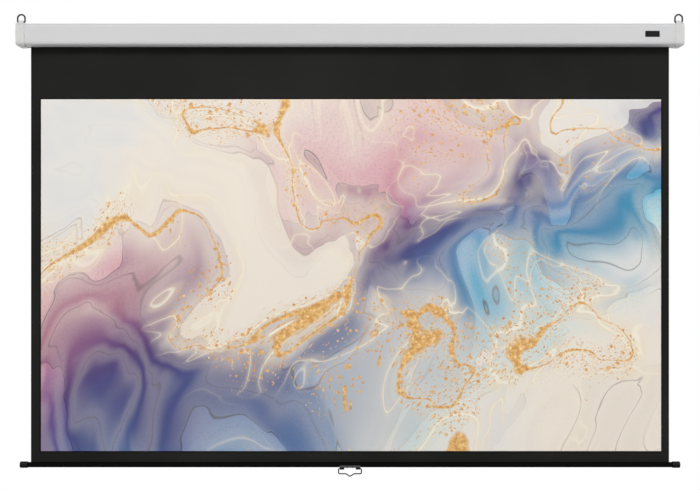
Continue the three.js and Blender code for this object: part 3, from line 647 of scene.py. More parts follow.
class Effects:
    """The effects that the finishes share, each built once."""

    def __init__(self) -> None:
        """Builds every effect."""
        self.grain = self.build_grain()
        self.mottle = self.build_mottle()
        self.dust = self.build_dust()
        self.wear = self.build_wear()
        self.scratches = self.build_scratches()
        self.weave = self.build_weave()

    def build_grain(self) -> Tree:
        """Builds the fine pebbled surface of mouldings and sprayed coats."""
        effect = Effect("fine_grain", {"Scale": 900.0})
        finer, fainter = 2.7, 0.4
        coarse = effect.noise(effect.place, Noise(effect.given["Scale"]))
        fine_scale = effect.times(effect.given["Scale"], finer)
        fine = effect.noise(effect.place, Noise(fine_scale, detail=1.0))
        return effect.giving(Height=effect.sum("MULTIPLY_ADD", fine, fainter, coarse))

    def build_mottle(self) -> Tree:
        """Builds the broad, faint change of tone that every large surface has."""
        effect = Effect("broad_mottle", {"Scale": 6.0, "Contrast": 0.1})
        clouds = Noise(effect.given["Scale"], detail=3.0, roughness=0.55)
        centred = effect.sum("SUBTRACT", effect.noise(effect.place, clouds), 0.5)
        shade = effect.sum("MULTIPLY_ADD", centred, effect.given["Contrast"], 1.0)
        return effect.giving(Shade=shade)

    def build_dust(self) -> Tree:
        """Builds the dust that settles on what faces up."""
        effect = Effect("settled_dust", {"Amount": 0.3})
        upward = Band(0.2, 1.0)
        facing = effect.span(effect.part("Z", effect.normal()), upward)
        patches = effect.patches(effect.place, Noise(14.0, 5.0, 0.65), Band(0.35, 0.7))
        specks = effect.patches(effect.place, Noise(420.0, roughness=0.7), Band(0.3, 0.75))
        settled = effect.times(patches, facing)
        return effect.masking(effect.times(settled, specks))

    def build_wear(self) -> Tree:
        """Builds the rubbed look of outer edges, from how far they turn within a radius."""
        effect = Effect("edge_wear", {"Radius": 1 * MM, "Amount": 0.5})
        sharp = Band(0.02, 0.22)
        rounded = effect.node("Bevel", {"Radius": effect.given["Radius"]}, samples=4)
        alike = effect.vector("DOT_PRODUCT", rounded.outputs[0], effect.normal())
        edge = effect.span(effect.sum("SUBTRACT", 1.0, alike), sharp)
        broken = effect.patches(effect.place, Noise(160.0, 4.0, 0.6), Band(0.4, 0.65))
        return effect.masking(effect.times(edge, broken))

    def build_scratches(self) -> Tree:
        """Builds fine marks drawn along X, as handling and the drawing die leave them."""
        effect = Effect("drawn_marks", {"Scale": 900.0, "Amount": 0.5})
        along = (0.03, 1.0, 1.0)
        stretched = effect.vector("MULTIPLY", effect.place, along)
        fine = Noise(effect.given["Scale"], roughness=0.6)
        lines = effect.patches(stretched, fine, Band(0.52, 0.72))
        patches = effect.patches(effect.place, Noise(25.0, detail=3.0), Band(0.4, 0.6))
        return effect.masking(effect.times(lines, patches))

    def build_weave(self) -> Tree:
        """Builds a plain weave: threads along X and Z that pass over and under by turns."""
        effect = Effect("plain_weave", {"Threads": THREADS_PER_METRE})
        open_between = Band(0.0, 0.35, 1.0, 0.0)
        scaled = effect.vector("SCALE", effect.place, effect.given["Threads"])
        rounds, cells = [], []
        for axis in ("X", "Z"):
            along = effect.part(axis, scaled)
            within = effect.sum("FRACT", along)
            rounds.append(effect.sum("SINE", effect.times(within, math.pi)))
            cells.append(effect.sum("FLOOR", along))
        over = effect.sum("MODULO", effect.sum("ADD", *cells), 2.0)
        over = effect.sum("ABSOLUTE", over)
        under = effect.sum("SUBTRACT", 1.0, over)
        first = effect.times(rounds[0], over)
        height = effect.sum("MULTIPLY_ADD", rounds[1], under, first)
        gap = effect.span(effect.times(*rounds), open_between)
        return effect.giving(Height=height, Gap=gap)


class Coat(Wiring):
    """One material with its shader, ready for a finish to wire up."""

    def __init__(self, name: str, plain: dict[str, float]) -> None:
        """Makes the material.

        Args:
            name: The material's name.
            plain: The shader inputs that are the same all over.
        """
        self.material = bpy.data.materials.new(name)
        self.material.use_nodes = True
        super().__init__(self.material.node_tree)
        self.shader = self.tree.nodes["Principled BSDF"]
        for label, value in plain.items():
            self.shader.inputs[label].default_value = value
        self.place = self.node("TexCoord").outputs["Object"]

    def place_from(self, middle: bpy.types.Object) -> Socket:
        """Returns the point's place, in metres, from an object instead of the piece's own."""
        return self.node("TexCoord", object=middle).outputs["Object"]

    def laid(self, tree: Tree, **values: Feed) -> bpy.types.Node:
        """Lays a shared effect over the piece, with the finish's own values."""
        return self.node("Group", {"Place": self.place, **values}, node_tree=tree)

    def shaded(self, colour: Feed, shade: Socket) -> Socket:
        """Multiplies a colour by a shade that changes over the surface."""
        grey = self.node("CombineColor", {"Red": shade, "Green": shade, "Blue": shade})
        return self.blend(1.0, colour, grey.outputs[0], "MULTIPLY")

    def cover(self, colour: Feed, roughness: float, *added: tuple[Socket, float]) -> None:
        """Feeds the shader its colour and its roughness.

        Args:
            colour: The colour.
            roughness: The roughness of the plain surface.
            *added: Masks, each with the roughness that it adds.
        """
        for mask, more in added:
            roughness = self.sum("MULTIPLY_ADD", mask, more, roughness)
        self.feed(self.shader.inputs["Base Color"], colour)
        self.feed(self.shader.inputs["Roughness"], roughness)

    def bumped(self, height: Feed, distance: float, strength: float = 1.0) -> None:
        """Raises the surface by a height, so many metres at 1."""
        feeds = {"Height": height, "Distance": distance, "Strength": strength}
        self.feed(self.shader.inputs["Normal"], self.node("Bump", feeds).outputs[0])


@dataclass(frozen=True, kw_only=True)
class HardFinish:
    """What the hard finishes share: faint clouds of tone, settled dust and rubbed edges."""

    colour: Colour
    dust_colour: Colour
    cloud_scale: float
    cloud_contrast: float
    dust: float
    edge_radius: float
    rubbed: float

    def aged(self, coat: Coat, effects: Effects) -> list[Socket]:
        """Lays the effects that every hard finish has.

        Args:
            coat: The material's wiring.
            effects: The shared effects.

        Returns:
            The clouds' shade, the dust's mask and the rubbed edges' mask.
        """
        clouds = coat.laid(effects.mottle, Scale=self.cloud_scale, Contrast=self.cloud_contrast)
        dust = coat.laid(effects.dust, Amount=self.dust)
        rubbed = coat.laid(effects.wear, Radius=self.edge_radius, Amount=self.rubbed)
        return [node.outputs[0] for node in (clouds, dust, rubbed)]


@dataclass(frozen=True, kw_only=True)
class PowderCoat(HardFinish):
    """White powder coat on sheet steel: a satin skin with a faint orange peel."""

    dust_colour: Colour = tone("b4b0a8")
    worn_colour: Colour = tone("b9bbbd")
    roughness: float = 0.42
    dust_roughness: float = 0.4
    grain_roughness: float = 0.08
    gloss: float = 0.4
    clear_coat: float = 0.08
    cloud_scale: float = 3.0
    cloud_contrast: float = 0.05
    dust: float = 0.25
    edge_radius: float = 1.2 * MM
    rubbed: float = 0.3
    grain_scale: float = 700.0
    bump: float = 0.05 * MM

    def material(self, name: str, effects: Effects) -> bpy.types.Material:
        """Builds the material.

        Args:
            name: Its name.
            effects: The shared effects.

        Returns:
            The material.
        """
        coat = Coat(name, {"Specular IOR Level": self.gloss, "Coat Weight": self.clear_coat})
        shade, dust, rubbed = self.aged(coat, effects)
        grain = coat.laid(effects.grain, Scale=self.grain_scale).outputs[0]
        colour = coat.shaded(self.colour, shade)
        colour = coat.blend(rubbed, colour, self.worn_colour)
        colour = coat.blend(dust, colour, self.dust_colour)
        rougher = ((dust, self.dust_roughness), (grain, self.grain_roughness))
        coat.cover(colour, self.roughness, *rougher)
        coat.bumped(grain, self.bump)
        return coat.material


@dataclass(frozen=True, kw_only=True)
class MouldedPlastic(HardFinish):
    """Injection-moulded plastic with a spark-eroded grain."""

    roughness: float
    grain_roughness: float = 0.12
    rubbed_roughness: float = -0.3
    gloss: float = 0.45
    cloud_scale: float = 22.0
    cloud_contrast: float = 0.08
    edge_radius: float = 0.9 * MM
    grain_scale: float = 1500.0
    bump: float = 0.06 * MM

    def material(self, name: str, effects: Effects) -> bpy.types.Material:
        """Builds the material.

        Args:
            name: Its name.
            effects: The shared effects.

        Returns:
            The material.
        """
        coat = Coat(name, {"Specular IOR Level": self.gloss})
        shade, dust, rubbed = self.aged(coat, effects)
        grain = coat.laid(effects.grain, Scale=self.grain_scale).outputs[0]
        marked = coat.sum("ADD", dust, rubbed, clamp=True)
        colour = coat.blend(marked, coat.shaded(self.colour, shade), self.dust_colour)
        rougher = ((grain, self.grain_roughness), (rubbed, self.rubbed_roughness))
        coat.cover(colour, self.roughness, *rougher)
        coat.bumped(grain, self.bump)
        return coat.material


@dataclass(frozen=True, kw_only=True)
class PaintedTube(HardFinish):
    """Black paint on a rolled steel tube, with marks along its length."""

    colour: Colour = tone("060607")
    bare_colour: Colour = tone("303134")
    dust_colour: Colour = tone("4a4946")
    roughness: float = 0.55
    grain_roughness: float = 0.1
    dust_roughness: float = 0.4
    gloss: float = 0.03
    cloud_scale: float = 5.0
    cloud_contrast: float = 0.3
    dust: float = 0.03
    edge_radius: float = 0.8 * MM
    rubbed: float = 0.1
    mark_scale: float = 1100.0
    marked: float = 0.06
    grain_scale: float = 1000.0
    bump: float = 0.03 * MM

    def material(self, name: str, effects: Effects) -> bpy.types.Material:
        """Builds the material.

        Args:
            name: Its name.
            effects: The shared effects.

        Returns:
            The material.
        """
        coat = Coat(name, {"Specular IOR Level": self.gloss})
        shade, dust, rubbed = self.aged(coat, effects)
        marks = coat.laid(effects.scratches, Scale=self.mark_scale, Amount=self.marked)
        grain = coat.laid(effects.grain, Scale=self.grain_scale).outputs[0]
        bare = coat.sum("ADD", marks.outputs[0], rubbed, clamp=True)
        colour = coat.blend(bare, coat.shaded(self.colour, shade), self.bare_colour)
        colour = coat.blend(dust, colour, self.dust_colour)
        rougher = ((grain, self.grain_roughness), (dust, self.dust_roughness))
        coat.cover(colour, self.roughness, *rougher)
        coat.bumped(grain, self.bump)
        return coat.material


@dataclass(frozen=True, kw_only=True)
class PlatedSteel(HardFinish):
    """Plated steel, from dark drawn wire to bright zinc."""

    tarnish: Colour
    dust_colour: Colour = tone("8d8980")
    roughness: float = 0.3
    crystal_roughness: float = 0.35
    mark_roughness: float = 0.2
    rubbed_roughness: float = -0.15
    gloss: float = 0.5
    metallic: float = 0.9
    dust_metallic: float = -0.8
    cloud_scale: float = 60.0
    cloud_contrast: float = 0.5
    dust: float = 0.2
    edge_radius: float = 0.6 * MM
    rubbed: float = 0.5
    mark_scale: float = 1500.0
    marked: float = 0.5
    crystal_scale: float = 140.0
    spangle: float = 0.0
    bump: float = 0.02 * MM

    def material(self, name: str, effects: Effects) -> bpy.types.Material:
        """Builds the material.

        Args:
            name: Its name.
            effects: The shared effects.

        Returns:
            The material.
        """
        coat = Coat(name, {"Specular IOR Level": self.gloss})
        shade, dust, rubbed = self.aged(coat, effects)
        marks = coat.laid(effects.scratches, Scale=self.mark_scale, Amount=self.marked).outputs[0]
        flakes = coat.node("TexVoronoi", {"Vector": coat.place, "Scale": self.crystal_scale})
        flake = coat.node("SeparateColor", {"Color": flakes.outputs["Color"]}).outputs["Red"]
        crystal = coat.times(flake, self.spangle)
        base = coat.shaded(coat.blend(crystal, self.colour, self.tarnish), shade)
        base = coat.blend(marks, base, self.tarnish)
        colour = coat.blend(dust, base, self.dust_colour)
        metallic = coat.sum("MULTIPLY_ADD", dust, self.dust_metallic, self.metallic, clamp=True)
        coat.feed(coat.shader.inputs["Metallic"], metallic)
        rougher = (
            (crystal, self.crystal_roughness),
            (marks, self.mark_roughness),
            (rubbed, self.rubbed_roughness),
        )
        coat.cover(colour, self.roughness, *rougher)
        coat.bumped(marks, self.bump)
        return coat.material


@dataclass(frozen=True)
class CoatedCloth:
    """Black coated cloth, woven underneath, with heat-cut edges."""

    colour: Colour = tone("151514")
    thread_colour: Colour = tone("252524")
    cut_colour: Colour = tone("020202")
    dust_colour: Colour = tone("5a5854")
    roughness: float = 0.68
    gap_roughness: float = 0.15
    gloss: float = 0.06
    cloud_scale: float = 1.3
    cloud_contrast: float = 1.6
    dust: float = 0.2
    bump: float = 0.08 * MM
    bump_strength: float = 0.7
    cut_width: float = 3 * MM
    frame_width: float = 4 * MM
    frame_share: float = 0.8
    blur: float = 1.5 * MM
    front: Band = Band(-0.5, 0.0, 1.0, 0.0)

    def material(
        self, name: str, effects: Effects, middle: bpy.types.Object
    ) -> bpy.types.Material:
        """Builds the material.

        Args:
            name: Its name.
            effects: The shared effects.
            middle: The middle of the viewing area, which the dark frame goes round.

        Returns:
            The material.
        """
        coat = Coat(name, {"Specular IOR Level": self.gloss})
        height, gap = coat.laid(effects.weave, Threads=THREADS_PER_METRE).outputs
        clouds = coat.laid(effects.mottle, Scale=self.cloud_scale, Contrast=self.cloud_contrast)
        dust = coat.laid(effects.dust, Amount=self.dust).outputs[0]
        colour = coat.blend(height, self.colour, self.thread_colour)
        colour = coat.shaded(colour, clouds.outputs[0])
        colour = coat.blend(self.edges(coat, middle), colour, self.cut_colour)
        colour = coat.blend(dust, colour, self.dust_colour)
        coat.cover(colour, self.roughness, (gap, self.gap_roughness))
        coat.bumped(height, self.bump, self.bump_strength)
        return coat.material

    def edges(self, coat: Coat, middle: bpy.types.Object) -> Socket:
        """Finds the sealed strips at the cloth's cut edges and round the viewing area.

        Args:
            coat: The material's wiring.
            middle: The middle of the viewing area.

        Returns:
            The share of the darker colour.
        """
        cloth, view = Extent.of("fabric_sheet"), Extent.of("viewing_surface")
        reach = coat.sum("ABSOLUTE", coat.part("X", coat.place))
        sealed = cloth.high.x - self.cut_width
        cut = coat.span(reach, Band(sealed - self.blur, sealed))
        design = coat.place_from(middle)
        outside = []
        for axis, half in (("X", view.size.x / 2), ("Z", view.size.z / 2)):
            reach = coat.sum("ABSOLUTE", coat.part(axis, design))
            outside.append(coat.sum("SUBTRACT", reach, half))
        fade = Band(self.frame_width, self.frame_width + self.blur, self.frame_share, 0.0)
        frame_line = coat.span(coat.sum("MAXIMUM", *outside), fade)
        in_front = coat.span(coat.part("Y", coat.normal()), self.front)
        return coat.sum("MAXIMUM", cut, coat.times(frame_line, in_front))


@dataclass(frozen=True)
class MarbledCoat:
    """The matt viewing coat, with a marbled ink design of washes, rims and gold.

    The first fields are colours, the next set the shader and bend the design, and the rest follow
    the order in which the design is laid: washes, petals, rims, threads and gold.
    """

    paper: Colour = tone("e9e7e4")
    cream: Colour = tone("f4eadc")
    light: Colour = tone("fdf6e6")
    halo: Colour = tone("f3e2c0")
    rim_ink: Colour = tone("46355f")
    petal_ink: Colour = tone("6f6296")
    grain_ink: Colour = tone("6a5a80")
    deep_gold: Colour = tone("d39a58")
    gold: Colour = tone("f7cd8a")
    pale_gold: Colour = tone("fff1c8")
    inks: tuple[str, ...] = (
        "ecd2cf", "e5b5bb", "d294a4", "a8789d", "6d558c", "5d6a9e", "7fa3c9", "58b0d2", "b2dce4",
        "f1e7d8",
    )

    roughness: float = 0.88
    gap_roughness: float = 0.06
    gloss: float = 0.15
    cloud_scale: float = 2.0
    cloud_contrast: float = 0.04
    bump: float = 0.03 * MM
    bump_strength: float = 0.5
    start: Triple = (0.35, 0.0, 0.1)
    swirls: tuple[Point, ...] = ((0.75, 1.5), (1.9, 0.42), (5.0, 0.09), (14.0, 0.016))
    current: Noise = Noise(0.95)
    current_level: float = 0.5
    current_glow: Band = Band(0.0, 0.07, 0.6, 0.0)

    slant: Triple = (0.42, 0.0, -0.62)
    slant_start: float = 0.38
    tint: Noise = Noise(0.8)
    warm: Band = Band(0.46, 0.6)
    pool: Noise = Noise(1.15, 3.0, 0.42)
    pool_soft: Band = Band(0.40, 0.54)
    pool_crisp: Band = Band(0.484, 0.492, 0.15, 1.0)
    broken: Noise = Noise(2.4)
    broken_share: float = 0.9
    open_slant: Triple = (0.5, 0.0, -0.75)
    poured: Band = Band(0.85, 1.1, 1.0, 0.12)
    ink_specks: Noise = Noise(120.0, 3.0, 0.7)
    ink_speckled: Band = Band(0.45, 0.75, 0.0, 0.25)

    petal: Noise = Noise(2.3, 2.5)
    petal_inside: Band = Band(0.5, 0.515)
    petal_tint: float = 0.6
    petal_share: float = 0.6
    petal_level: float = 0.507
    petal_line: Band = Band(0.0005, 0.003, 0.95, 0.0)

    layers: float = 16.0
    layer_half: float = 0.5
    layer_line: Band = Band(0.0, 0.035, 1.0, 0.0)
    layer_glow: Band = Band(0.07, 0.5, 0.16, 0.0)
    rim_broken: Band = Band(0.44, 0.6)
    rim_deep: Band = Band(0.42, 0.56, 0.08, 0.75)
    rim_tint: float = 0.8
    shore_level: float = 0.489
    shore_line: Band = Band(0.0005, 0.0025, 0.42, 0.0)

    near_gold: Band = Band(0.01, 0.09, 1.0, 0.0)
    thread_rows: tuple[Triple, ...] = ((2.1, 0.47, 0.008), (3.7, 0.52, 0.004))
    thread_share: float = 0.8
    halo_reach: float = 6.0
    halo_share: float = 0.4

    shimmer: Noise = Noise(60.0, 3.0, 0.7)
    golden: Band = Band(0.35, 0.65)
    glinting: Band = Band(0.58, 0.72)
    swell: Noise = Noise(3.0, 3.0)
    vein_width: Band = Band(0.42, 0.70, 0.0012, 0.010)
    vein_core: float = 0.4
    fleck_patch: Noise = Noise(2.2, 3.0)
    fleck_reach: Band = Band(0.42, 0.60, 0.002, 0.11)
    large_fleck: Point = (44.0, 0.38)
    small_flecks: tuple[Point, ...] = ((90.0, 0.46), (190.0, 0.5))
    fleck_least: float = 0.2
    fleck_share: float = 0.92

    def material(
        self, name: str, effects: Effects, middle: bpy.types.Object
    ) -> bpy.types.Material:
        """Builds the material.

        Args:
            name: Its name.
            effects: The shared effects.
            middle: What the design is centred on, so that it moves with the cloth's lower end.

        Returns:
            The material.
        """
        coat = Coat(name, {"Specular IOR Level": self.gloss})
        height, gap = coat.laid(effects.weave, Threads=THREADS_PER_METRE).outputs
        clouds = coat.laid(effects.mottle, Scale=self.cloud_scale, Contrast=self.cloud_contrast)
        painted = self.painted(coat, coat.place_from(middle))
        colour = coat.shaded(painted, clouds.outputs[0])
        coat.cover(colour, self.roughness, (gap, self.gap_roughness))
        coat.bumped(height, self.bump, self.bump_strength)
        return coat.material

    def painted(self, coat: Coat, design: Socket) -> Socket:
        """Paints the whole design.

        Args:
            coat: The material's wiring.
            design: The flat places, from the design's middle.

        Returns:
            The colour.
        """
        flow = self.flow(coat, design)
        off = coat.away(coat.noise(flow, self.current), self.current_level)
        colour = self.washes(coat, flow, design)
        colour = coat.blend(coat.span(off, self.current_glow), colour, self.cream)
        colour = self.threads(coat, flow, off, colour)
        return self.gilded(coat, flow, design, off, colour)

    def flow(self, coat: Coat, design: Socket) -> Socket:
        """Bends the design's places into currents, large ones first.

        Args:
            coat: The material's wiring.
            design: The flat places, from the design's middle.

        Returns:
            The bent places.
        """
        bent = coat.vector("ADD", design, self.start)
        for scale, reach in self.swirls:
            swirl = coat.noise(bent, Noise(scale), coloured=True)
            drift = coat.vector("SUBTRACT", swirl, (0.5, 0.5, 0.5))
            bent = coat.vector("ADD", bent, coat.vector("SCALE", drift, reach))
        return bent

    def washes(self, coat: Coat, flow: Socket, design: Socket) -> Socket:
        """Lays the coloured washes, with a darker rim where each pool of ink dried.

        Args:
            coat: The material's wiring.
            flow: The bent places.
            design: The flat places.

        Returns:
            The colour.
        """
        along = coat.vector("DOT_PRODUCT", flow, self.slant)
        share = coat.sum("ADD", along, self.slant_start, clamp=True)
        last = len(self.inks) - 1
        wash = coat.ramp(share, [(i / last, tone(ink)) for i, ink in enumerate(self.inks)])
        tint = coat.noise(flow, self.tint, coloured=True)
        warmth = coat.node("SeparateColor", {"Color": tint}).outputs["Green"]
        ground = coat.blend(coat.span(warmth, self.warm), self.paper, self.cream)
        pool, broken = coat.noise(flow, self.pool), coat.noise(flow, self.broken)
        corner = coat.sum("ABSOLUTE", coat.vector("DOT_PRODUCT", design, self.open_slant))
        drifting = coat.sum("MULTIPLY_ADD", broken, self.broken_share, corner)
        edge = coat.times(coat.span(pool, self.pool_soft), coat.span(pool, self.pool_crisp))
        depth = coat.times(edge, coat.span(drifting, self.poured))
        colour = coat.blend(depth, ground, wash)

        petals = coat.noise(flow, self.petal)
        inside = coat.times(coat.span(petals, self.petal_inside), depth)
        inked = coat.blend(self.petal_tint, wash, self.petal_ink, "MULTIPLY")
        colour = coat.blend(coat.times(inside, self.petal_share), colour, inked)

        stepped = coat.times(pool, self.layers)
        layers = coat.sum("PINGPONG", stepped, self.layer_half)
        rim = coat.times(coat.span(layers, self.layer_line), coat.span(broken, self.rim_broken))
        rim = coat.times(rim, coat.span(pool, self.rim_deep))
        shore = coat.span(coat.away(pool, self.shore_level), self.shore_line)
        line = coat.span(coat.away(petals, self.petal_level), self.petal_line)
        line = coat.sum("MAXIMUM", coat.times(line, depth), shore)
        rim = coat.sum("MAXIMUM", rim, line)
        rim_colour = coat.blend(self.rim_tint, wash, self.rim_ink, "MULTIPLY")
        colour = coat.blend(rim, colour, rim_colour)
        colour = coat.blend(coat.span(layers, self.layer_glow), colour, self.light)

        specks = coat.patches(design, self.ink_specks, self.ink_speckled)
        return coat.blend(coat.times(specks, depth), colour, self.grain_ink)

    def threads(self, coat: Coat, flow: Socket, off: Socket, colour: Socket) -> Socket:
        """Draws pale threads that branch beside the gold.

        Args:
            coat: The material's wiring.
            flow: The bent places.
            off: How far each place is from the gold.
            colour: The colour under the threads.

        Returns:
            The colour with the threads.
        """
        near = coat.span(off, self.near_gold)
        for scale, level, width in self.thread_rows:
            thread = coat.away(coat.noise(flow, Noise(scale)), level)
            halo = Band(0.0, width * self.halo_reach, self.halo_share, 0.0)
            line = Band(0.0, width, self.thread_share, 0.0)
            for band, pale in ((halo, self.halo), (line, self.light)):
                colour = coat.blend(coat.times(coat.span(thread, band), near), colour, pale)
        return colour

    def gilded(
        self, coat: Coat, flow: Socket, design: Socket, off: Socket, colour: Socket
    ) -> Socket:
        """Lays the gold: thin veins along the currents, and flecks of three sizes beside them.

        Args:
            coat: The material's wiring.
            flow: The bent places.
            design: The flat places.
            off: How far each place is from the gold.
            colour: The colour under the gold.

        Returns:
            The colour with the gold on it.
        """
        shimmer = coat.noise(design, self.shimmer)
        metal = coat.blend(coat.span(shimmer, self.golden), self.deep_gold, self.gold)
        metal = coat.blend(coat.span(shimmer, self.glinting), metal, self.pale_gold)
        width = coat.patches(design, self.swell, self.vein_width)
        core = coat.times(width, self.vein_core)
        colour = coat.blend(coat.span(off, Band(core, width, 1.0, 0.0)), colour, metal)
        reach = coat.patches(design, self.fleck_patch, self.fleck_reach)
        close = coat.span(off, Band(0.0, reach, 1.0, 0.0))
        rows = [(design, *self.large_fleck), *((flow, *fleck) for fleck in self.small_flecks)]
        for places, scale, most in rows:
            cells = coat.node("TexVoronoi", {"Vector": places, "Scale": scale})
            drawn = coat.node("SeparateColor", {"Color": cells.outputs["Color"]}).outputs["Red"]
            size = coat.span(drawn, Band(self.fleck_least, 1.0, 0.0, most))
            fleck = coat.sum("LESS_THAN", cells.outputs["Distance"], coat.times(size, close))
            colour = coat.blend(coat.times(fleck, self.fleck_share), colour, metal)
        return colour


class Workshop:
    """Makes pieces out of forms and gives each its finish."""

    def __init__(self) -> None:
        """Mixes the finishes and marks the middle of the printed design."""
        self.effects = Effects()
        self.design_middle = bpy.data.objects.new("design_middle", None)
        bpy.context.scene.collection.objects.link(self.design_middle)
        self.design_middle.location = Extent.of("viewing_surface").middle
        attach(self.design_middle, Body.BOTTOM_BAR.value)
        self.finishes = self.mix_finishes()
        self.count = 0

    def mix_finishes(self) -> dict[Slot, bpy.types.Material]:
        """Builds the material of every slot.

        Returns:
            Each slot's material.
        """
        recipes = {
            Slot.COATED_STEEL: PowderCoat(colour=tone("d0d0d1")),
            Slot.WHITE_PLASTIC: MouldedPlastic(
                colour=tone("d3d3d2"), dust_colour=tone("a9a59c"), roughness=0.46, dust=0.25,
                rubbed=0.05,
            ),
            Slot.BLACK_PLASTIC: MouldedPlastic(
                colour=tone("09090b"), dust_colour=tone("3f3d3a"), roughness=0.4, dust=0.25,
                rubbed=0.3, gloss=0.12,
            ),
            Slot.BAR_PAINT: PaintedTube(),
            Slot.DARK_WIRE: PlatedSteel(colour=tone("313134"), tarnish=tone("18181a")),
            # Darker than bare steel: partly the strap's own dark grey, and partly painted shade for
            # the strap that sits under the bar.
            Slot.GREY_STEEL: PlatedSteel(
                colour=tone("5a5a5e"), tarnish=tone("38393c"), roughness=0.42, metallic=0.85
            ),
            Slot.ZINC_STEEL: PlatedSteel(
                colour=tone("bcbfc2"), tarnish=tone("7f8488"), spangle=0.5
            ),
            Slot.NYLON: MouldedPlastic(
                colour=tone("d9d5c6"), dust_colour=tone("9d978a"), roughness=0.5, dust=0.2,
                rubbed=0.05,
            ),
        }
        made = {
            slot: recipe.material(slot.value + "_finish", self.effects)
            for slot, recipe in recipes.items()
        }
        for slot, recipe in ((Slot.BLACK_CLOTH, CoatedCloth()), (Slot.SCREEN_WHITE, MarbledCoat())):
            name = slot.value + "_finish"
            made[slot] = recipe.material(name, self.effects, self.design_middle)
        return made

    def place(
        self, name: str, form: Form, body: Body, slot: Slot, *stands_for: str
    ) -> bpy.types.Object:
        """Makes one piece.

        Args:
            name: The piece's name.
            form: Its form, which is used up.
            body: The body that it rides on.
            slot: The slot that its finish comes from.
            *stands_for: The solids that it stands for.

        Returns:
            The piece, in place.
        """
        mesh = form.as_mesh(name)
        mesh.materials.append(self.finishes[slot])
        piece = bpy.data.objects.new(name, mesh)
        bpy.context.scene.collection.objects.link(piece)
        flatten = piece.modifiers.new("flat_faces_stay_flat", "WEIGHTED_NORMAL")
        flatten.keep_sharp = True
        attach(piece, body.value)
        if stands_for:
            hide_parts(*stands_for)
        self.count += 1
        log.info("%s rides on %s, %d faces", name, body.value, len(mesh.polygons))
        return piece

    def dress(self, node: str, slot: Slot) -> None:
        """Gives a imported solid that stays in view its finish.

        Args:
            node: The solid's name.
            slot: The slot that its finish comes from.
        """
        solid = frame["nodes"][node]
        solid.data.materials.clear()
        solid.data.materials.append(self.finishes[slot])
        self.count += 1
        log.info("%s keeps its solid, in %s", node, slot.value)


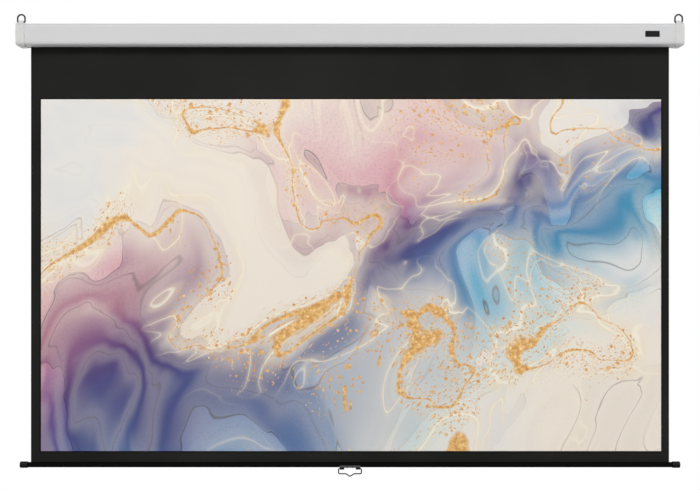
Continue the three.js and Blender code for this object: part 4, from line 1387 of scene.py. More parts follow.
@dataclass
class Case:
    """The folded sheet of the housing, with the plate on its front."""

    shop: Workshop
    wall: float = 1 * MM
    upper_radius: float = 10 * MM
    lower_radius: float = 12 * MM
    rear_radius: float = 3 * MM
    slot_front_gap: float = 8 * MM
    slot_rear_strip: float = 6.7 * MM
    lip: float = 6 * MM
    edge: float = 0.25 * MM
    corner_steps: int = 10
    screw_radius: float = 2 * MM
    screw_sides: int = 20
    badge_radius: float = 1.5 * MM
    badge_rim: float = 1.1 * MM
    badge_dish: float = 0.25 * MM
    badge_steps: int = 6

    def build(self) -> None:
        """Builds the case and its plate."""
        sheet = Extent.of("housing_shell")
        form = Form.along_x(self.sheet_outline(sheet), sheet.low.x, sheet.high.x)
        form = form.softened(self.edge).carved([], [self.screw_hole(side) for side in Side])
        self.shop.place("case_sheet", form, Body.HOUSING, Slot.COATED_STEEL, "housing_shell")
        plate = self.badge()
        self.shop.place("front_plate", plate, Body.HOUSING, Slot.BLACK_PLASTIC, "badge_plate")

    def corners(self, grow: float, back: float) -> list[tuple[Point, float, float]]:
        """Lists the four rounded corners of the case's section, from below its back.

        Args:
            grow: How far the section is grown, everywhere but at its back.
            back: Where its back is.

        Returns:
            Each corner's centre, its radius and the angle where it starts.
        """
        sheet = Extent.of("housing_shell")
        front, bottom, top = sheet.low.y - grow, sheet.low.z - grow, sheet.high.z + grow
        upper, lower, rear = self.upper_radius + grow, self.lower_radius + grow, self.rear_radius
        return [
            ((back - rear, bottom + rear), rear, -90),
            ((back - rear, top - rear), rear, 0),
            ((front + upper, top - upper), upper, 90),
            ((front + lower, bottom + lower), lower, 180),
        ]

    def sheet_outline(self, sheet: Extent) -> list[Point]:
        """Draws the folded strip: round its outside, then back along its inside.

        Args:
            sheet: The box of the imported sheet.

        Returns:
            The closed outline, across and up.
        """
        bottom, wall, steps = sheet.low.z, self.wall, self.corner_steps
        slot_front = Extent.of("weight_bar").middle.y - self.slot_front_gap
        slot_rear = sheet.high.y - self.slot_rear_strip
        corners = self.corners(0, sheet.high.y)
        outline = [(slot_rear, bottom)]
        for centre, radius, start in corners:
            outline += arc(centre, radius, start, start + 90, steps)
        outline += [
            (slot_front, bottom),
            (slot_front, bottom + self.lip),
            (slot_front - wall, bottom + self.lip),
            (slot_front - wall, bottom + wall),
        ]
        for centre, radius, start in reversed(corners):
            outline += arc(centre, radius - wall, start + 90, start, steps)
        outline += [
            (slot_rear + wall, bottom + wall),
            (slot_rear + wall, bottom + self.lip),
            (slot_rear, bottom + self.lip),
        ]
        return outline

    def screw_hole(self, side: Side) -> Form:
        """Makes the cutter for the hole that a cap's screw goes through.

        Args:
            side: The cap's end.

        Returns:
            The cutter.
        """
        screw = Extent.of(f"cap_screw_{side.word}")
        radius, length = self.screw_radius + FIT_GAP, screw.size.z + OVERRUN
        hole = Form.rod(radius, 0, length, self.screw_sides).turned_to_z()
        return hole.moved((screw.middle.x, screw.middle.y, screw.low.z))

    def badge(self) -> Form:
        """Makes the bare plate: a raised rim round a shallow dish.

        Returns:
            The plate.
        """
        plate = Extent.of("badge_plate")
        middle, half = plate.middle, plate.size / 2

        def outline(inset: float) -> list[Point]:
            """Draws the plate's rounded outline, so far in from its edge."""
            radius = max(self.badge_radius - inset, self.badge_radius / 3)
            points = []
            for (right, up), start in zip(((1, -1), (1, 1), (-1, 1), (-1, -1)), (-90, 0, 90, 180)):
                centre = (
                    middle.x + right * (half.x - inset - radius),
                    middle.z + up * (half.z - inset - radius),
                )
                points += arc(centre, radius, start, start + 90, self.badge_steps)
            return points

        steps = (
            (plate.high.y, 0.0),
            (plate.low.y + self.edge, 0.0),
            (plate.low.y, self.edge),
            (plate.low.y, self.badge_rim),
            (plate.low.y + self.badge_dish, self.badge_rim + self.badge_dish),
        )
        return Form.skin([section_at_y(y, outline(inset)) for y, inset in steps])


@dataclass
class EndCap:
    """A moulded cap over one end of the case, with the lug that its ring hangs in."""

    shop: Workshop
    side: Side
    collar_wall: float = 1.8 * MM
    band_wall: float = 2.3 * MM
    band_edge: float = 1.6 * MM
    collar_edge: float = 0.4 * MM
    seam_inset: float = 2 * MM
    seam_depth: float = 0.6 * MM
    seam_width: float = 0.9 * MM
    seam_slope: float = 0.2
    section_steps: tuple[int, ...] = (4, 4, 10, 10)
    heel_radius: float = 6 * MM
    heel_steps: int = 10
    end_wall: float = 3 * MM
    hollow_side: float = 44 * MM
    lug_width: float = 19 * MM
    lug_radius: float = 6 * MM
    lug_base: float = 17 * MM
    lug_edge: float = 0.9 * MM
    lug_steps: int = 14
    bore_sides: int = 24
    shoulder_rise: float = 1.6 * MM
    shoulder_depth: float = 26 * MM
    shoulder_length: float = 27 * MM
    shoulder_slope: float = 2 * MM
    shoulder_edge: float = 0.6 * MM
    wire_radius: float = 3 * MM
    plate_screw_radius: float = 1.75 * MM
    plate_screw_sides: int = 16
    screw_head: float = 3.2 * MM
    screw_head_height: float = 2 * MM
    screw_dome: tuple[float, ...] = (1.35, 1.0, 0.6, 0.2)
    screw_sides: int = 24
    recess_reach: float = 1.7 * MM
    recess_half: float = 0.45 * MM
    recess_depth: float = 1.1 * MM

    def build(self) -> None:
        """Builds the cap, and the screw under it."""
        word, place = self.side.word, self.shop.place
        cap, screw = self.cap().for_side(self.side), self.screw().for_side(self.side)
        place(f"moulded_cap_{word}", cap, Body.HOUSING, Slot.WHITE_PLASTIC, f"end_cap_{word}")
        place(f"underside_screw_{word}", screw, Body.HOUSING, Slot.ZINC_STEEL, f"cap_screw_{word}")

    def outline(self, grow: float, back: float, floor: float) -> list[Point]:
        """Draws the case's outline, grown everywhere but at its back.

        Args:
            grow: How far it grows.
            back: Where its back is.
            floor: The least height of any point, which rounds the heel.

        Returns:
            The closed outline, across and up.
        """
        points = []
        corners = Case(self.shop).corners(grow, back)
        for (centre, radius, start), steps in zip(corners, self.section_steps):
            points += arc(centre, radius, start, start + 90, steps)
        return [(y, max(z, floor)) for y, z in points]

    def stations(self) -> list[Point]:
        """Lists where the cap's outside changes: places along X, and how far it stands out.

        Returns:
            Each place along X, with how far the outside stands out there.
        """
        cap, plate = Extent.of("end_cap_right"), Extent.of("end_plate_right")
        seam = plate.high.x - self.seam_inset
        collar, band = FIT_GAP + self.collar_wall, FIT_GAP + self.band_wall
        edge, width, end = self.band_edge, self.seam_width, cap.high.x
        rows = [
            *eased(cap.low.x, collar, self.collar_edge),
            (seam - width, collar),
            (seam - width * (1 - self.seam_slope), collar - self.seam_depth),
            (seam - width * self.seam_slope, collar - self.seam_depth),
            *arc((seam + edge, band - edge), edge, 165, 90, 4),
        ]
        for i in range(1, self.heel_steps):
            angle = math.pi / 2 * i / self.heel_steps
            x = end - self.heel_radius + self.heel_radius * math.sin(angle)
            if seam + edge < x < end - edge:
                rows.append((x, band))
        return [*rows, *arc((end - edge, band - edge), edge, 90, 0, 5)]

    def cap(self) -> Form:
        """Makes the right-hand cap.

        Returns:
            The cap.
        """
        cap, sheet = Extent.of("end_cap_right"), Extent.of("housing_shell")
        plate = Extent.of("end_plate_right")
        turn = cap.high.x - self.heel_radius
        rings = []
        for x, grow in self.stations():
            floor = cap.low.z
            if x > turn:
                drop = math.sqrt(max(self.heel_radius**2 - (x - turn) ** 2, 0))
                floor = cap.low.z + self.heel_radius - drop
            rings.append(section_at_x(x, self.outline(grow, sheet.high.y, floor)))
        opening = self.outline(FIT_GAP, sheet.high.y + 2 * OVERRUN, -math.inf)
        pocket = Form.along_x(opening, cap.low.x - OVERRUN, plate.high.x + FIT_GAP)
        half, axis = self.hollow_side / 2, pivot_of("roller_spin").z
        hollow = Form.block(
            (plate.high.x, -half, axis - half), (cap.high.x - self.end_wall, half, axis + half)
        )
        bore_radius = self.wire_radius + FIT_GAP
        bore = Form.rod(bore_radius, -self.lug_width, self.lug_width, self.bore_sides)
        bore = bore.moved(pivot_of("right_ring_swing"))
        cuts = [pocket, hollow, bore, Case(self.shop).screw_hole(Side.RIGHT)]
        cuts += [self.plate_screw_hole(height) for height in ("upper", "lower")]
        return Form.skin(rings).carved([self.shoulder(), self.lug()], cuts)

    def plate_screw_hole(self, height: str) -> Form:
        """Makes the cutter for one of the screws that hold the cap to its plate.

        Args:
            height: The word for the screw's height.

        Returns:
            The cutter.
        """
        screw = Extent.of(f"plate_screw_right_{height}")
        radius, end = self.plate_screw_radius + FIT_GAP, screw.high.x + FIT_GAP
        hole = Form.rod(radius, screw.middle.x, end, self.plate_screw_sides)
        return hole.moved((0, screw.middle.y, screw.middle.z))

    def lug(self) -> Form:
        """Makes the lug: round at the top, and wider at its foot.

        Returns:
            The lug.
        """
        ring, base = pivot_of("right_ring_swing"), Extent.of("housing_shell").high.z
        foot = self.lug_base / 2
        top = arc((0, ring.z), self.lug_radius, 0, 180, self.lug_steps)
        outline = [(-foot, base), (foot, base), *top]
        lug = Form.along_x(outline, ring.x - self.lug_width / 2, ring.x + self.lug_width / 2)
        return lug.softened(self.lug_edge, 3)

    def shoulder(self) -> Form:
        """Makes the low pad that the lug stands on.

        Returns:
            The pad.
        """
        cap, sheet = Extent.of("end_cap_right"), Extent.of("housing_shell")
        middle, half = (cap.low.x + cap.high.x) / 2, self.shoulder_length / 2
        top = sheet.high.z + FIT_GAP + self.band_wall + self.shoulder_rise
        foot, slope = sheet.high.z + FIT_GAP, self.shoulder_slope
        outline = [
            (middle - half, foot),
            (middle + half, foot),
            (middle + half, top - slope),
            (middle + half - slope, top),
            (middle - half + slope, top),
            (middle - half, top - slope),
        ]
        pad = Form.along_y(outline, -self.shoulder_depth / 2, self.shoulder_depth / 2)
        return pad.softened(self.shoulder_edge, 2, 30)

    def screw(self) -> Form:
        """Makes the right-hand cap screw: a domed head with a crossed recess, pointing up.

        Returns:
            The screw.
        """
        screw, shank = Extent.of("cap_screw_right"), Case.screw_radius
        length = screw.size.z
        profile = [
            *domed(self.screw_head_height, self.screw_head, self.screw_dome, shank),
            (length - shank / 2, shank),
            (length, shank / 2),
        ]
        form = Form.turned(profile, self.screw_sides)
        reach, half = self.recess_reach, self.recess_half
        slots = [
            Form.block((-OVERRUN, -a, -b), (self.recess_depth, a, b))
            for a, b in ((reach, half), (half, reach))
        ]
        form = form.carved([], slots).turned_to_z()
        return form.moved((screw.middle.x, screw.middle.y, screw.low.z))


@dataclass
class HangingRing:
    """A ring of dark wire: a round eye on two legs that turn in to meet inside the lug."""

    shop: Workshop
    side: Side
    wire_radius: float = EndCap.wire_radius
    outer_width: float = 32 * MM
    leg_gap: float = 0.65 * MM
    neck: float = 14 * MM
    end_gap: float = 6 * MM
    bend: float = 5 * MM
    tip: float = 0.5 * MM
    bend_steps: int = 8
    eye_steps: int = 44
    sides: int = 18

    def build(self) -> None:
        """Builds the ring at its own end."""
        word = self.side.word
        body = Body.RIGHT_RING if self.side is Side.RIGHT else Body.LEFT_RING
        path = [Vector((x, 0, z)) + pivot_of(f"{word}_ring_swing") for x, z in self.path()]
        form = Form.wire(path, self.wire_radius, self.sides, self.tip)
        self.shop.place(f"ceiling_ring_{word}", form, body, Slot.DARK_WIRE, f"hanging_ring_{word}")

    def path(self) -> list[Point]:
        """Draws the wire's middle about the pivot, along and up.

        Returns:
            The path.
        """
        radius = self.outer_width / 2 - self.wire_radius
        leg = EndCap.lug_width / 2 + self.leg_gap + self.wire_radius
        lean = math.atan2(self.neck, leg) - math.acos(radius / math.hypot(leg, self.neck))
        side = Vector((radius * math.cos(lean), self.neck - radius * math.sin(lean)))
        corners = [(self.end_gap / 2, 0), (leg, 0), tuple(side)]
        half = bent_path(corners, [self.bend], self.bend_steps)
        start, end = -math.degrees(lean), 180 + math.degrees(lean)
        eye = arc((0, self.neck), radius, start, end, self.eye_steps)
        return [*half[:-1], *eye, *((-x, z) for x, z in reversed(half[:-1]))]


@dataclass
class Cloth:
    """The black cloth between the roller and the bar, and the white coat on its front."""

    shop: Workshop
    thickness: float = 0.45 * MM
    ripple: float = 1.2 * MM
    even_share: float = 0.5
    slow_share: float = 0.3
    quick_share: float = 0.2
    slow_along: Point = (2.1, 0.6)
    slow_up: Point = (2.6, -0.3)
    quick_across: Triple = (5.3, 2.2, 1.1)
    columns: int = 60
    rows: int = 64
    pocket_steps: int = 28
    pocket_start: float = 105
    pocket_end: float = 430
    rod_radius: float = 3 * MM
    neck: float = 0.9 * MM
    hidden: float = 12 * MM
    fade_share: float = 0.12

    def build(self) -> None:
        """Builds the sheet, its pocket and its coat."""
        cloth, view = Extent.of("fabric_sheet"), Extent.of("viewing_surface")
        low, high = cloth.low.x, cloth.high.x

        sheet = self.shop.place(
            "screen_cloth", self.sheet(), Body.HOUSING, Slot.BLACK_CLOTH, "fabric_sheet"
        )
        length = cloth.high.z - (self.neck_top() + FIT_GAP)
        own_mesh(sheet)

        line = self.pocket_line()
        form = Form.along_x(self.thickened(line), low, high)
        pocket = self.shop.place("rod_pocket", form, Body.BOTTOM_BAR, Slot.BLACK_CLOTH)
        flat = (high - low, length_of(line))

        coat = self.shop.place(
            "viewing_coat", self.coat(), Body.HOUSING, Slot.SCREEN_WHITE, "viewing_surface"
        )
        inside = cloth.high.z - Extent.of("housing_shell").low.z - self.hidden
        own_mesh(coat)

    def pocket_radius(self) -> float:
        """The radius of the pocket's cloth, at the middle of its thickness."""
        return self.rod_radius + FIT_GAP + self.thickness / 2

    def neck_top(self) -> float:
        """The height where the pocket's neck meets the hanging sheet."""
        return Extent.of("hem_spline").middle.z + self.pocket_radius() + self.neck

    def pocket_line(self) -> list[Point]:
        """Draws the pocket: a short neck, and the turn round the rod.

        Returns:
            The line.
        """
        rod, radius = Extent.of("hem_spline").middle, self.pocket_radius()
        turn = arc((rod.y, rod.z), radius, self.pocket_start, self.pocket_end, self.pocket_steps)
        return [(rod.y, self.neck_top()), *turn]

    def wave(self, x: float, z: float) -> float:
        """Works out how far the cloth stands behind its flat place.

        Args:
            x: The place along the cloth.
            z: The height.

        Returns:
            The offset along Y. It dies away at the roller and at the bar.
        """
        cloth = Extent.of("fabric_sheet")
        share = (cloth.high.z - z) / cloth.size.z
        held = min(max(min(share, 1 - share) / self.fade_share, 0), 1)
        hold = held * held * (3 - 2 * held)
        (along, along_start), (up, up_start) = self.slow_along, self.slow_up
        slow = math.sin(along * x + along_start) * math.sin(up * z + up_start)
        right, down, start = self.quick_across
        quick = math.sin(right * x - down * z + start)
        sway = self.even_share + self.slow_share * slow + self.quick_share * quick
        return self.ripple * hold * sway

    def sheet(self) -> Form:
        """Makes the hanging sheet, from the roller to the neck of the pocket.

        Returns:
            The sheet.
        """
        cloth = Extent.of("fabric_sheet")
        middle, top = Extent.of("hem_spline").middle.y, cloth.high.z
        fall = top - self.neck_top() - FIT_GAP
        line = [(middle, top - fall * i / self.rows) for i in range(self.rows + 1)]
        outline = self.thickened(line)
        rings = []
        for i in range(self.columns + 1):
            x = cloth.low.x + cloth.size.x * i / self.columns
            rings.append(section_at_x(x, [(y + self.wave(x, z), z) for y, z in outline]))
        return Form.skin(rings)

    def thickened(self, line: Sequence[Point]) -> list[Point]:
        """Gives a line the cloth's thickness.

        Args:
            line: The points of the cloth's middle.

        Returns:
            The closed outline round them.
        """
        points = [Vector(point) for point in line]
        before = [points[0], *points[:-1]]
        after = [*points[1:], points[-1]]
        sides = []
        for point, last, following in zip(points, before, after):
            way = (following - last).normalized()
            across = Vector((-way.y, way.x)) * self.thickness / 2
            sides.append((point + across, point - across))
        return [tuple(a) for a, _ in sides] + [tuple(b) for _, b in reversed(sides)]

    def coat(self) -> Form:
        """Makes the white coat, a thin skin that follows the sheet's front.

        Returns:
            The coat.
        """
        view = Extent.of("viewing_surface")
        heights = [view.high.z - view.size.z * i / self.rows for i in range(self.rows + 1)]
        flat = [(view.low.y, z) for z in heights] + [(view.high.y, z) for z in reversed(heights)]
        rings = []
        for i in range(self.columns + 1):
            x = view.low.x + view.size.x * i / self.columns
            rings.append(section_at_x(x, [(y + self.wave(x, z), z) for y, z in flat]))
        return Form.skin(rings)


@dataclass
class Roll:
    """The turns of cloth that stay on the roller."""

    shop: Workshop
    turns: float = 2.5
    spacing: float = 0.9 * MM
    thickness: float = Cloth.thickness
    steps: int = 72

    def build(self) -> None:
        """Builds the roll as one strip that spirals in."""
        roll = Extent.of("fabric_roll")
        inner, outside = self.spiral(0.0), self.spiral(self.thickness)
        form = Form.along_x(outside + inner[::-1], roll.low.x, roll.high.x)
        piece = self.shop.place(
            "rolled_cloth", form, Body.ROLLER, Slot.BLACK_CLOTH, "fabric_roll"
        )
        flat = (roll.size.x, length_of(inner))

    def spiral(self, lift: float) -> list[Point]:
        """Draws one face of the strip.

        Args:
            lift: How far out from its inner face.

        Returns:
            The points, from the outer end.
        """
        outer, axis = Extent.of("fabric_roll").high.y - self.thickness, pivot_of("roller_spin")
        points = []
        for i in range(round(self.turns * self.steps) + 1):
            angle = 2 * math.pi * i / self.steps
            radius = outer - self.spacing * i / self.steps + lift
            points.append((radius * math.cos(angle), axis.z + radius * math.sin(angle)))
        return points


@dataclass
class WeightBar:
    """The slotted tube in the cloth's lower end, and the cap on each end of it."""

    shop: Workshop
    wall: float = 1.2 * MM
    slot_width: float = 3 * MM
    edge: float = 0.2 * MM
    steps: int = 56
    cap_rounding: float = 3 * MM
    cap_lip: float = 0.8 * MM
    cap_end_wall: float = 3 * MM
    cap_steps: int = 8
    cap_sides: int = 48
    groove: float = 0.35 * MM
    groove_share: float = 0.25

    def build(self) -> None:
        """Builds the tube and its two caps."""
        place = self.shop.place
        place("bar_tube", self.tube(), Body.BOTTOM_BAR, Slot.BAR_PAINT, "weight_bar")
        for side in Side:
            name, cap = f"bar_end_{side.word}", self.cap().for_side(side)
            place(name, cap, Body.BOTTOM_BAR, Slot.BLACK_PLASTIC, f"bar_cap_{side.word}")

    def radius(self) -> float:
        """The tube's outer radius."""
        return Extent.of("weight_bar").size.y / 2

    def centre(self) -> Vector:
        """The middle of the tube's section, at the middle of its length."""
        tube = Extent.of("weight_bar")
        return Vector((0, tube.middle.y, tube.low.z + self.radius()))

    def tube(self) -> Form:
        """Makes the tube, slotted along its top and drilled below for the handle.

        Returns:
            The tube.
        """
        tube, outer, inner = Extent.of("weight_bar"), self.radius(), self.radius() - self.wall
        turn, inner_turn = (
            math.degrees(math.asin(self.slot_width / 2 / radius)) for radius in (outer, inner)
        )
        outline = arc((0, 0), outer, 90 + turn, 450 - turn, self.steps)
        outline += arc((0, 0), inner, 450 - inner_turn, 90 + inner_turn, self.steps)
        form = Form.along_x(outline, tube.low.x, tube.high.x).softened(self.edge, 2, 50)
        form.moved(self.centre())
        return form.carved([], Handle(self.shop).under_holes())

    def cap(self) -> Form:
        """Makes the right-hand bar cap: a sleeve with a rounded end and a gripping groove.

        Returns:
            The cap.
        """
        cap, rounding, groove = Extent.of("bar_cap_right"), self.cap_rounding, self.groove
        radius, bore = cap.size.z / 2, self.radius() + FIT_GAP
        start, end = cap.low.x, cap.high.x
        grip = start + cap.size.x * self.groove_share
        profile = [
            (end - self.cap_end_wall, bore),
            (start, bore),
            *eased(start, radius, self.cap_lip),
            (grip, radius),
            (grip + groove, radius - groove),
            (grip + 3 * groove, radius - groove),
            (grip + 4 * groove, radius),
            *arc((end - rounding, radius - rounding), rounding, 90, 0, self.cap_steps),
        ]
        return Form.turned(profile, self.cap_sides).moved((0, cap.middle.y, cap.middle.z))


@dataclass
class Handle:
    """The strap under the bar, its rivets, the two pivot blocks and the wire bail."""

    shop: Workshop
    strap_thickness: float = 1.5 * MM
    strap_front: float = 188
    strap_rear: float = 300
    strap_edge: float = 0.3 * MM
    strap_steps: int = 28
    hole_low: float = -15 * MM
    hole_high: float = -5 * MM
    hole_sides: int = 20
    rivet_radius: float = 1.5 * MM
    rivet_head: float = 2.5 * MM
    rivet_head_height: float = 1.2 * MM
    rivet_dome: tuple[float, ...] = (1.4, 1.05, 0.7, 0.35)
    rivet_sides: int = 24
    block_top_width: float = 9 * MM
    block_radius: float = 3.7 * MM
    block_bore_depth: float = 8 * MM
    block_edge: float = 0.5 * MM
    block_steps: int = 18
    saddle_steps: int = 14
    bore_sides: int = 24
    peg_radius: float = 2 * MM
    peg_inset: float = 3.5 * MM
    peg_rise: float = 7.5 * MM
    wire_radius: float = 2.2 * MM
    side_gap: float = 2.2 * MM
    drop: float = 18.2 * MM
    dip_depth: float = 10 * MM
    dip_width: float = 28 * MM
    bend: float = 5.5 * MM
    dip_bend: float = 4 * MM
    bend_steps: int = 8
    tip: float = 0.4 * MM
    sides: int = 16

    def build(self) -> None:
        """Builds the strap, rivets, blocks and bail."""
        place, body = self.shop.place, Body.BOTTOM_BAR
        place("handle_strap", self.strap(), body, Slot.GREY_STEEL, "handle_bracket")
        for side in Side:
            word = side.word
            rivet = self.rivet().for_side(side)
            place(f"strap_rivet_{word}", rivet, body, Slot.GREY_STEEL, f"bracket_rivet_{word}")
            block = self.block().for_side(side)
            place(f"handle_block_{word}", block, body, Slot.BLACK_PLASTIC, f"pivot_block_{word}")
        place("wire_bail", self.bail(), Body.BAIL, Slot.DARK_WIRE, "pull_handle")

    def centre(self) -> Vector:
        """The middle of the bar's section."""
        return WeightBar(self.shop).centre()

    def strap_inner(self) -> float:
        """The radius of the strap's inner face."""
        return WeightBar(self.shop).radius() + FIT_GAP

    def peg_place(self) -> float:
        """Where the right-hand block's peg stands on X."""
        return Extent.of("pivot_block_right").low.x + self.peg_inset

    def under_holes(self) -> list[Form]:
        """Makes the cutters for the pegs and rivets, through the bar's underside.

        Returns:
            The cutters.
        """
        centre, rivet = self.centre(), Extent.of("bracket_rivet_right")
        holes = []
        for radius, x in ((self.peg_radius, self.peg_place()), (self.rivet_radius, rivet.middle.x)):
            for side in Side:
                hole = Form.rod(radius + FIT_GAP, self.hole_low, self.hole_high, self.hole_sides)
                hole = hole.turned_to_z().moved((side.value * x, centre.y, centre.z))
                holes.append(hole)
        return holes

    def strap(self) -> Form:
        """Makes the strap, a strip bent round the bar's underside.

        Returns:
            The strap.
        """
        inner, strap = self.strap_inner(), Extent.of("handle_bracket")
        outer, front, rear = inner + self.strap_thickness, self.strap_front, self.strap_rear
        outline = arc((0, 0), outer, front, rear, self.strap_steps)
        outline += arc((0, 0), inner, rear, front, self.strap_steps)
        form = Form.along_x(outline, strap.low.x, strap.high.x).softened(self.strap_edge, 2, 50)
        return form.moved(self.centre()).carved([], self.under_holes())

    def rivet(self) -> Form:
        """Makes the right-hand rivet, with its domed head below the strap.

        Returns:
            The rivet.
        """
        rivet, shank = Extent.of("bracket_rivet_right"), self.rivet_radius
        profile = domed(self.rivet_head_height, self.rivet_head, self.rivet_dome, shank)
        form = Form.turned([*profile, (rivet.size.z, shank)], self.rivet_sides).turned_to_z()
        return form.moved((rivet.middle.x, rivet.middle.y, rivet.low.z))

    def block(self) -> Form:
        """Makes the right-hand block, its peg, and the bore that the bail turns in.

        Returns:
            The block.
        """
        block, centre = Extent.of("pivot_block_right"), self.centre()
        pivot = pivot_of("handle_swing")
        seat = self.strap_inner() + self.strap_thickness + FIT_GAP
        turn = math.degrees(math.asin(self.block_top_width / 2 / seat))
        outline = arc((0, 0), seat, 270 + turn, 270 - turn, self.saddle_steps)
        foot = (0, pivot.z - centre.z)
        outline += arc(foot, self.block_radius, 180, 360, self.block_steps)
        body = Form.along_x(outline, block.low.x, block.high.x).moved(centre)
        body.softened(self.block_edge, 3, 50)
        peg = Form.rod(self.peg_radius, 0, self.peg_rise, self.bore_sides)
        peg = peg.turned_to_z().moved((self.peg_place(), pivot.y, pivot.z))
        start, end = block.high.x - self.block_bore_depth, block.high.x + OVERRUN
        bore = Form.rod(self.wire_radius + FIT_GAP, start, end, self.bore_sides)
        return body.carved([peg], [bore.moved((0, pivot.y, pivot.z))])

    def bail(self) -> Form:
        """Makes the bail: two ears, a lower run and the dip in its middle.

        Returns:
            The bail.
        """
        pivot, block = pivot_of("handle_swing"), Extent.of("pivot_block_right")
        side = block.high.x + self.side_gap + self.wire_radius
        inner, dip = block.high.x - self.block_bore_depth + FIT_GAP, self.dip_width / 2
        right = [(inner, 0), (side, 0), (side, -self.drop), (dip, -self.drop)]
        left = [(-x, z) for x, z in reversed(right)]
        corners = [*right, (0, -self.drop - self.dip_depth), *left]
        ears, dips = [self.bend] * 2, [self.dip_bend] * 3
        path = bent_path(corners, [*ears, *dips, *ears], self.bend_steps)
        wire = [Vector((x, 0, z)) + pivot for x, z in path]
        return Form.wire(wire, self.wire_radius, self.sides, self.tip)


@dataclass
class Works:
    """The roller, its spring motor and its bearings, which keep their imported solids."""

    shop: Workshop

    def build(self) -> None:
        """Gives each inner solid its finish."""
        words = [side.word for side in Side]
        plates = [f"end_plate_{word}" for word in words]
        screws = [f"plate_screw_{word}_{height}" for word in words for height in ("upper", "lower")]
        rivets = [f"plug_rivet_{word}" for word in words]
        slots = {
            Slot.ZINC_STEEL: [
                *plates, *screws, *rivets, "pawl_pin_upper", "pawl_pin_lower", "idle_pin",
                "roller_tube", "spring_shaft", "shaft_clip",
            ],
            Slot.GREY_STEEL: [
                "ratchet_wheel", "spring_anchor", "torsion_spring", "roller_plug_right",
                "pawl_upper", "pawl_lower",
            ],
            Slot.NYLON: ["bearing_bush", "roller_plug_left", "shaft_guide_disc", "hem_spline"],
        }
        for slot, nodes in slots.items():
            for node in nodes:
                self.shop.dress(node, slot)


@dataclass(frozen=True)
class Lamp:
    """One soft square lamp: where it hangs, the side of its face and its power in watts."""

    name: str
    place: Triple
    size: float
    power: float


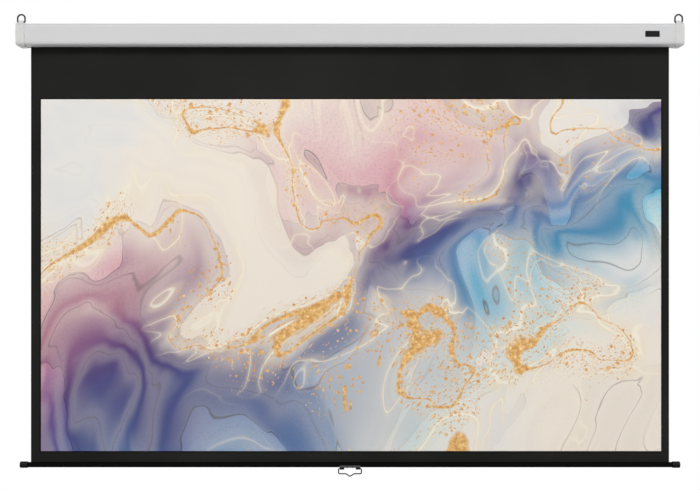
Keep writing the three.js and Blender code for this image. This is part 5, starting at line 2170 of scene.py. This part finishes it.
@dataclass
class Studio:
    """A pale floor, plain soft light and the camera."""

    focal_pixels: float = 1232.8
    picture_width: int = 700
    sensor: float = 36.0
    camera_place: Triple = (0.0, -4.380, -0.8154)
    floor_height: float = -2.0
    floor_radius: float = 40.0
    floor_sides: int = 96
    floor_colour: Colour = tone("e9e9ea")
    floor_roughness: float = 0.9
    floor_gloss: float = 0.1
    fade: Band = Band(0.55, 1.35)
    length_share: float = 0.5
    ambient: float = 0.3
    lamps: tuple[Lamp, ...] = (
        Lamp("left_lamp", (-3.2, -5.2, 2.5), 1.6, 146.0),
        Lamp("right_lamp", (3.2, -5.2, 2.5), 1.6, 146.0),
        Lamp("top_lamp", (0.0, -1.5, 3.2), 3.0, 12.0),
        Lamp("rear_lamp", (0.0, 5.6, 1.4), 2.6, 90.0),
    )

    def build(self) -> None:
        """Sets up the studio."""
        bpy.context.scene.view_settings.view_transform = "Standard"
        self.camera()
        self.world()
        self.floor()
        for lamp in self.lamps:
            self.hang(lamp)

    def camera(self) -> None:
        """Places the camera, level and square to the screen."""
        data = bpy.data.cameras.new("camera")
        data.sensor_width = self.sensor
        data.lens = self.focal_pixels * self.sensor / self.picture_width
        camera = bpy.data.objects.new("camera", data)
        camera.location = self.camera_place
        camera.rotation_euler = (math.pi / 2, 0, 0)
        bpy.context.scene.collection.objects.link(camera)
        bpy.context.scene.camera = camera

    def seen(self, wiring: Wiring) -> Socket:
        """Tells rays that show the background from those that light the object.

        Args:
            wiring: The tree that asks.

        Returns:
            1 for rays that show it, and 0 for the others.
        """
        path = wiring.node("LightPath").outputs
        seen = wiring.sum("ADD", path["Is Camera Ray"], path["Is Glossy Ray"], clamp=True)
        return wiring.sum("ADD", seen, path["Is Transmission Ray"], clamp=True)

    def world(self) -> None:
        """Makes a white backdrop that lights the object more softly than it shows."""
        world = bpy.data.worlds.new("studio")
        world.use_nodes = True
        bpy.context.scene.world = world
        wiring = Wiring(world.node_tree)
        world.node_tree.nodes.clear()
        soft = wiring.node("Background", {"Color": WHITE, "Strength": self.ambient})
        plain = wiring.node("Background", {"Color": WHITE, "Strength": 1.0})
        mixed = wiring.mixed(self.seen(wiring), soft, plain)
        wiring.node("OutputWorld", {"Surface": mixed.outputs[0]})

    def floor(self) -> None:
        """Makes the floor: pale under the object, where it keeps the shadow, white further out."""
        form = Form()
        bmesh.ops.create_circle(
            form.mesh, cap_ends=True, segments=self.floor_sides, radius=self.floor_radius
        )
        form.moved((0, 0, self.floor_height))
        floor = bpy.data.objects.new("studio_floor", form.as_mesh("studio_floor"))
        bpy.context.scene.collection.objects.link(floor)
        plain = {"Roughness": self.floor_roughness, "Specular IOR Level": self.floor_gloss}
        coat = Coat("studio_floor", {**plain, "Base Color": self.floor_colour})
        flat = coat.vector("MULTIPLY", coat.place, (self.length_share, 1, 0))
        outside = coat.span(coat.vector("LENGTH", flat), self.fade)
        share = coat.times(outside, self.seen(coat))
        glow = coat.node("Emission", {"Color": WHITE, "Strength": 1.0})
        top = coat.mixed(share, coat.shader, glow)
        backfacing = coat.node("NewGeometry").outputs["Backfacing"]
        both = coat.mixed(backfacing, top, coat.node("BsdfTransparent"))
        coat.feed(coat.tree.nodes["Material Output"].inputs["Surface"], both.outputs[0])
        floor.data.materials.append(coat.material)

    def hang(self, lamp: Lamp) -> None:
        """Hangs one lamp, pointed at the middle of the picture.

        Args:
            lamp: The lamp.
        """
        target = Vector((0.0, 0.0, self.camera_place[2]))
        data = bpy.data.lights.new(lamp.name, "AREA")
        data.shape = "SQUARE"
        data.size = lamp.size
        data.energy = lamp.power
        hung = bpy.data.objects.new(lamp.name, data)
        hung.location = lamp.place
        hung.rotation_euler = (target - Vector(lamp.place)).to_track_quat("-Z", "Y").to_euler()
        bpy.context.scene.collection.objects.link(hung)


def main() -> None:
    """Builds the studio, then the screen from its housing down to its handle."""
    Studio().build()
    shop = Workshop()
    Case(shop).build()
    for side in Side:
        EndCap(shop, side).build()
        HangingRing(shop, side).build()
    Roll(shop).build()
    Cloth(shop).build()
    WeightBar(shop).build()
    Handle(shop).build()
    Works(shop).build()
    log.info("%d pieces in all", shop.count)


if __name__ == "__main__":
    main()
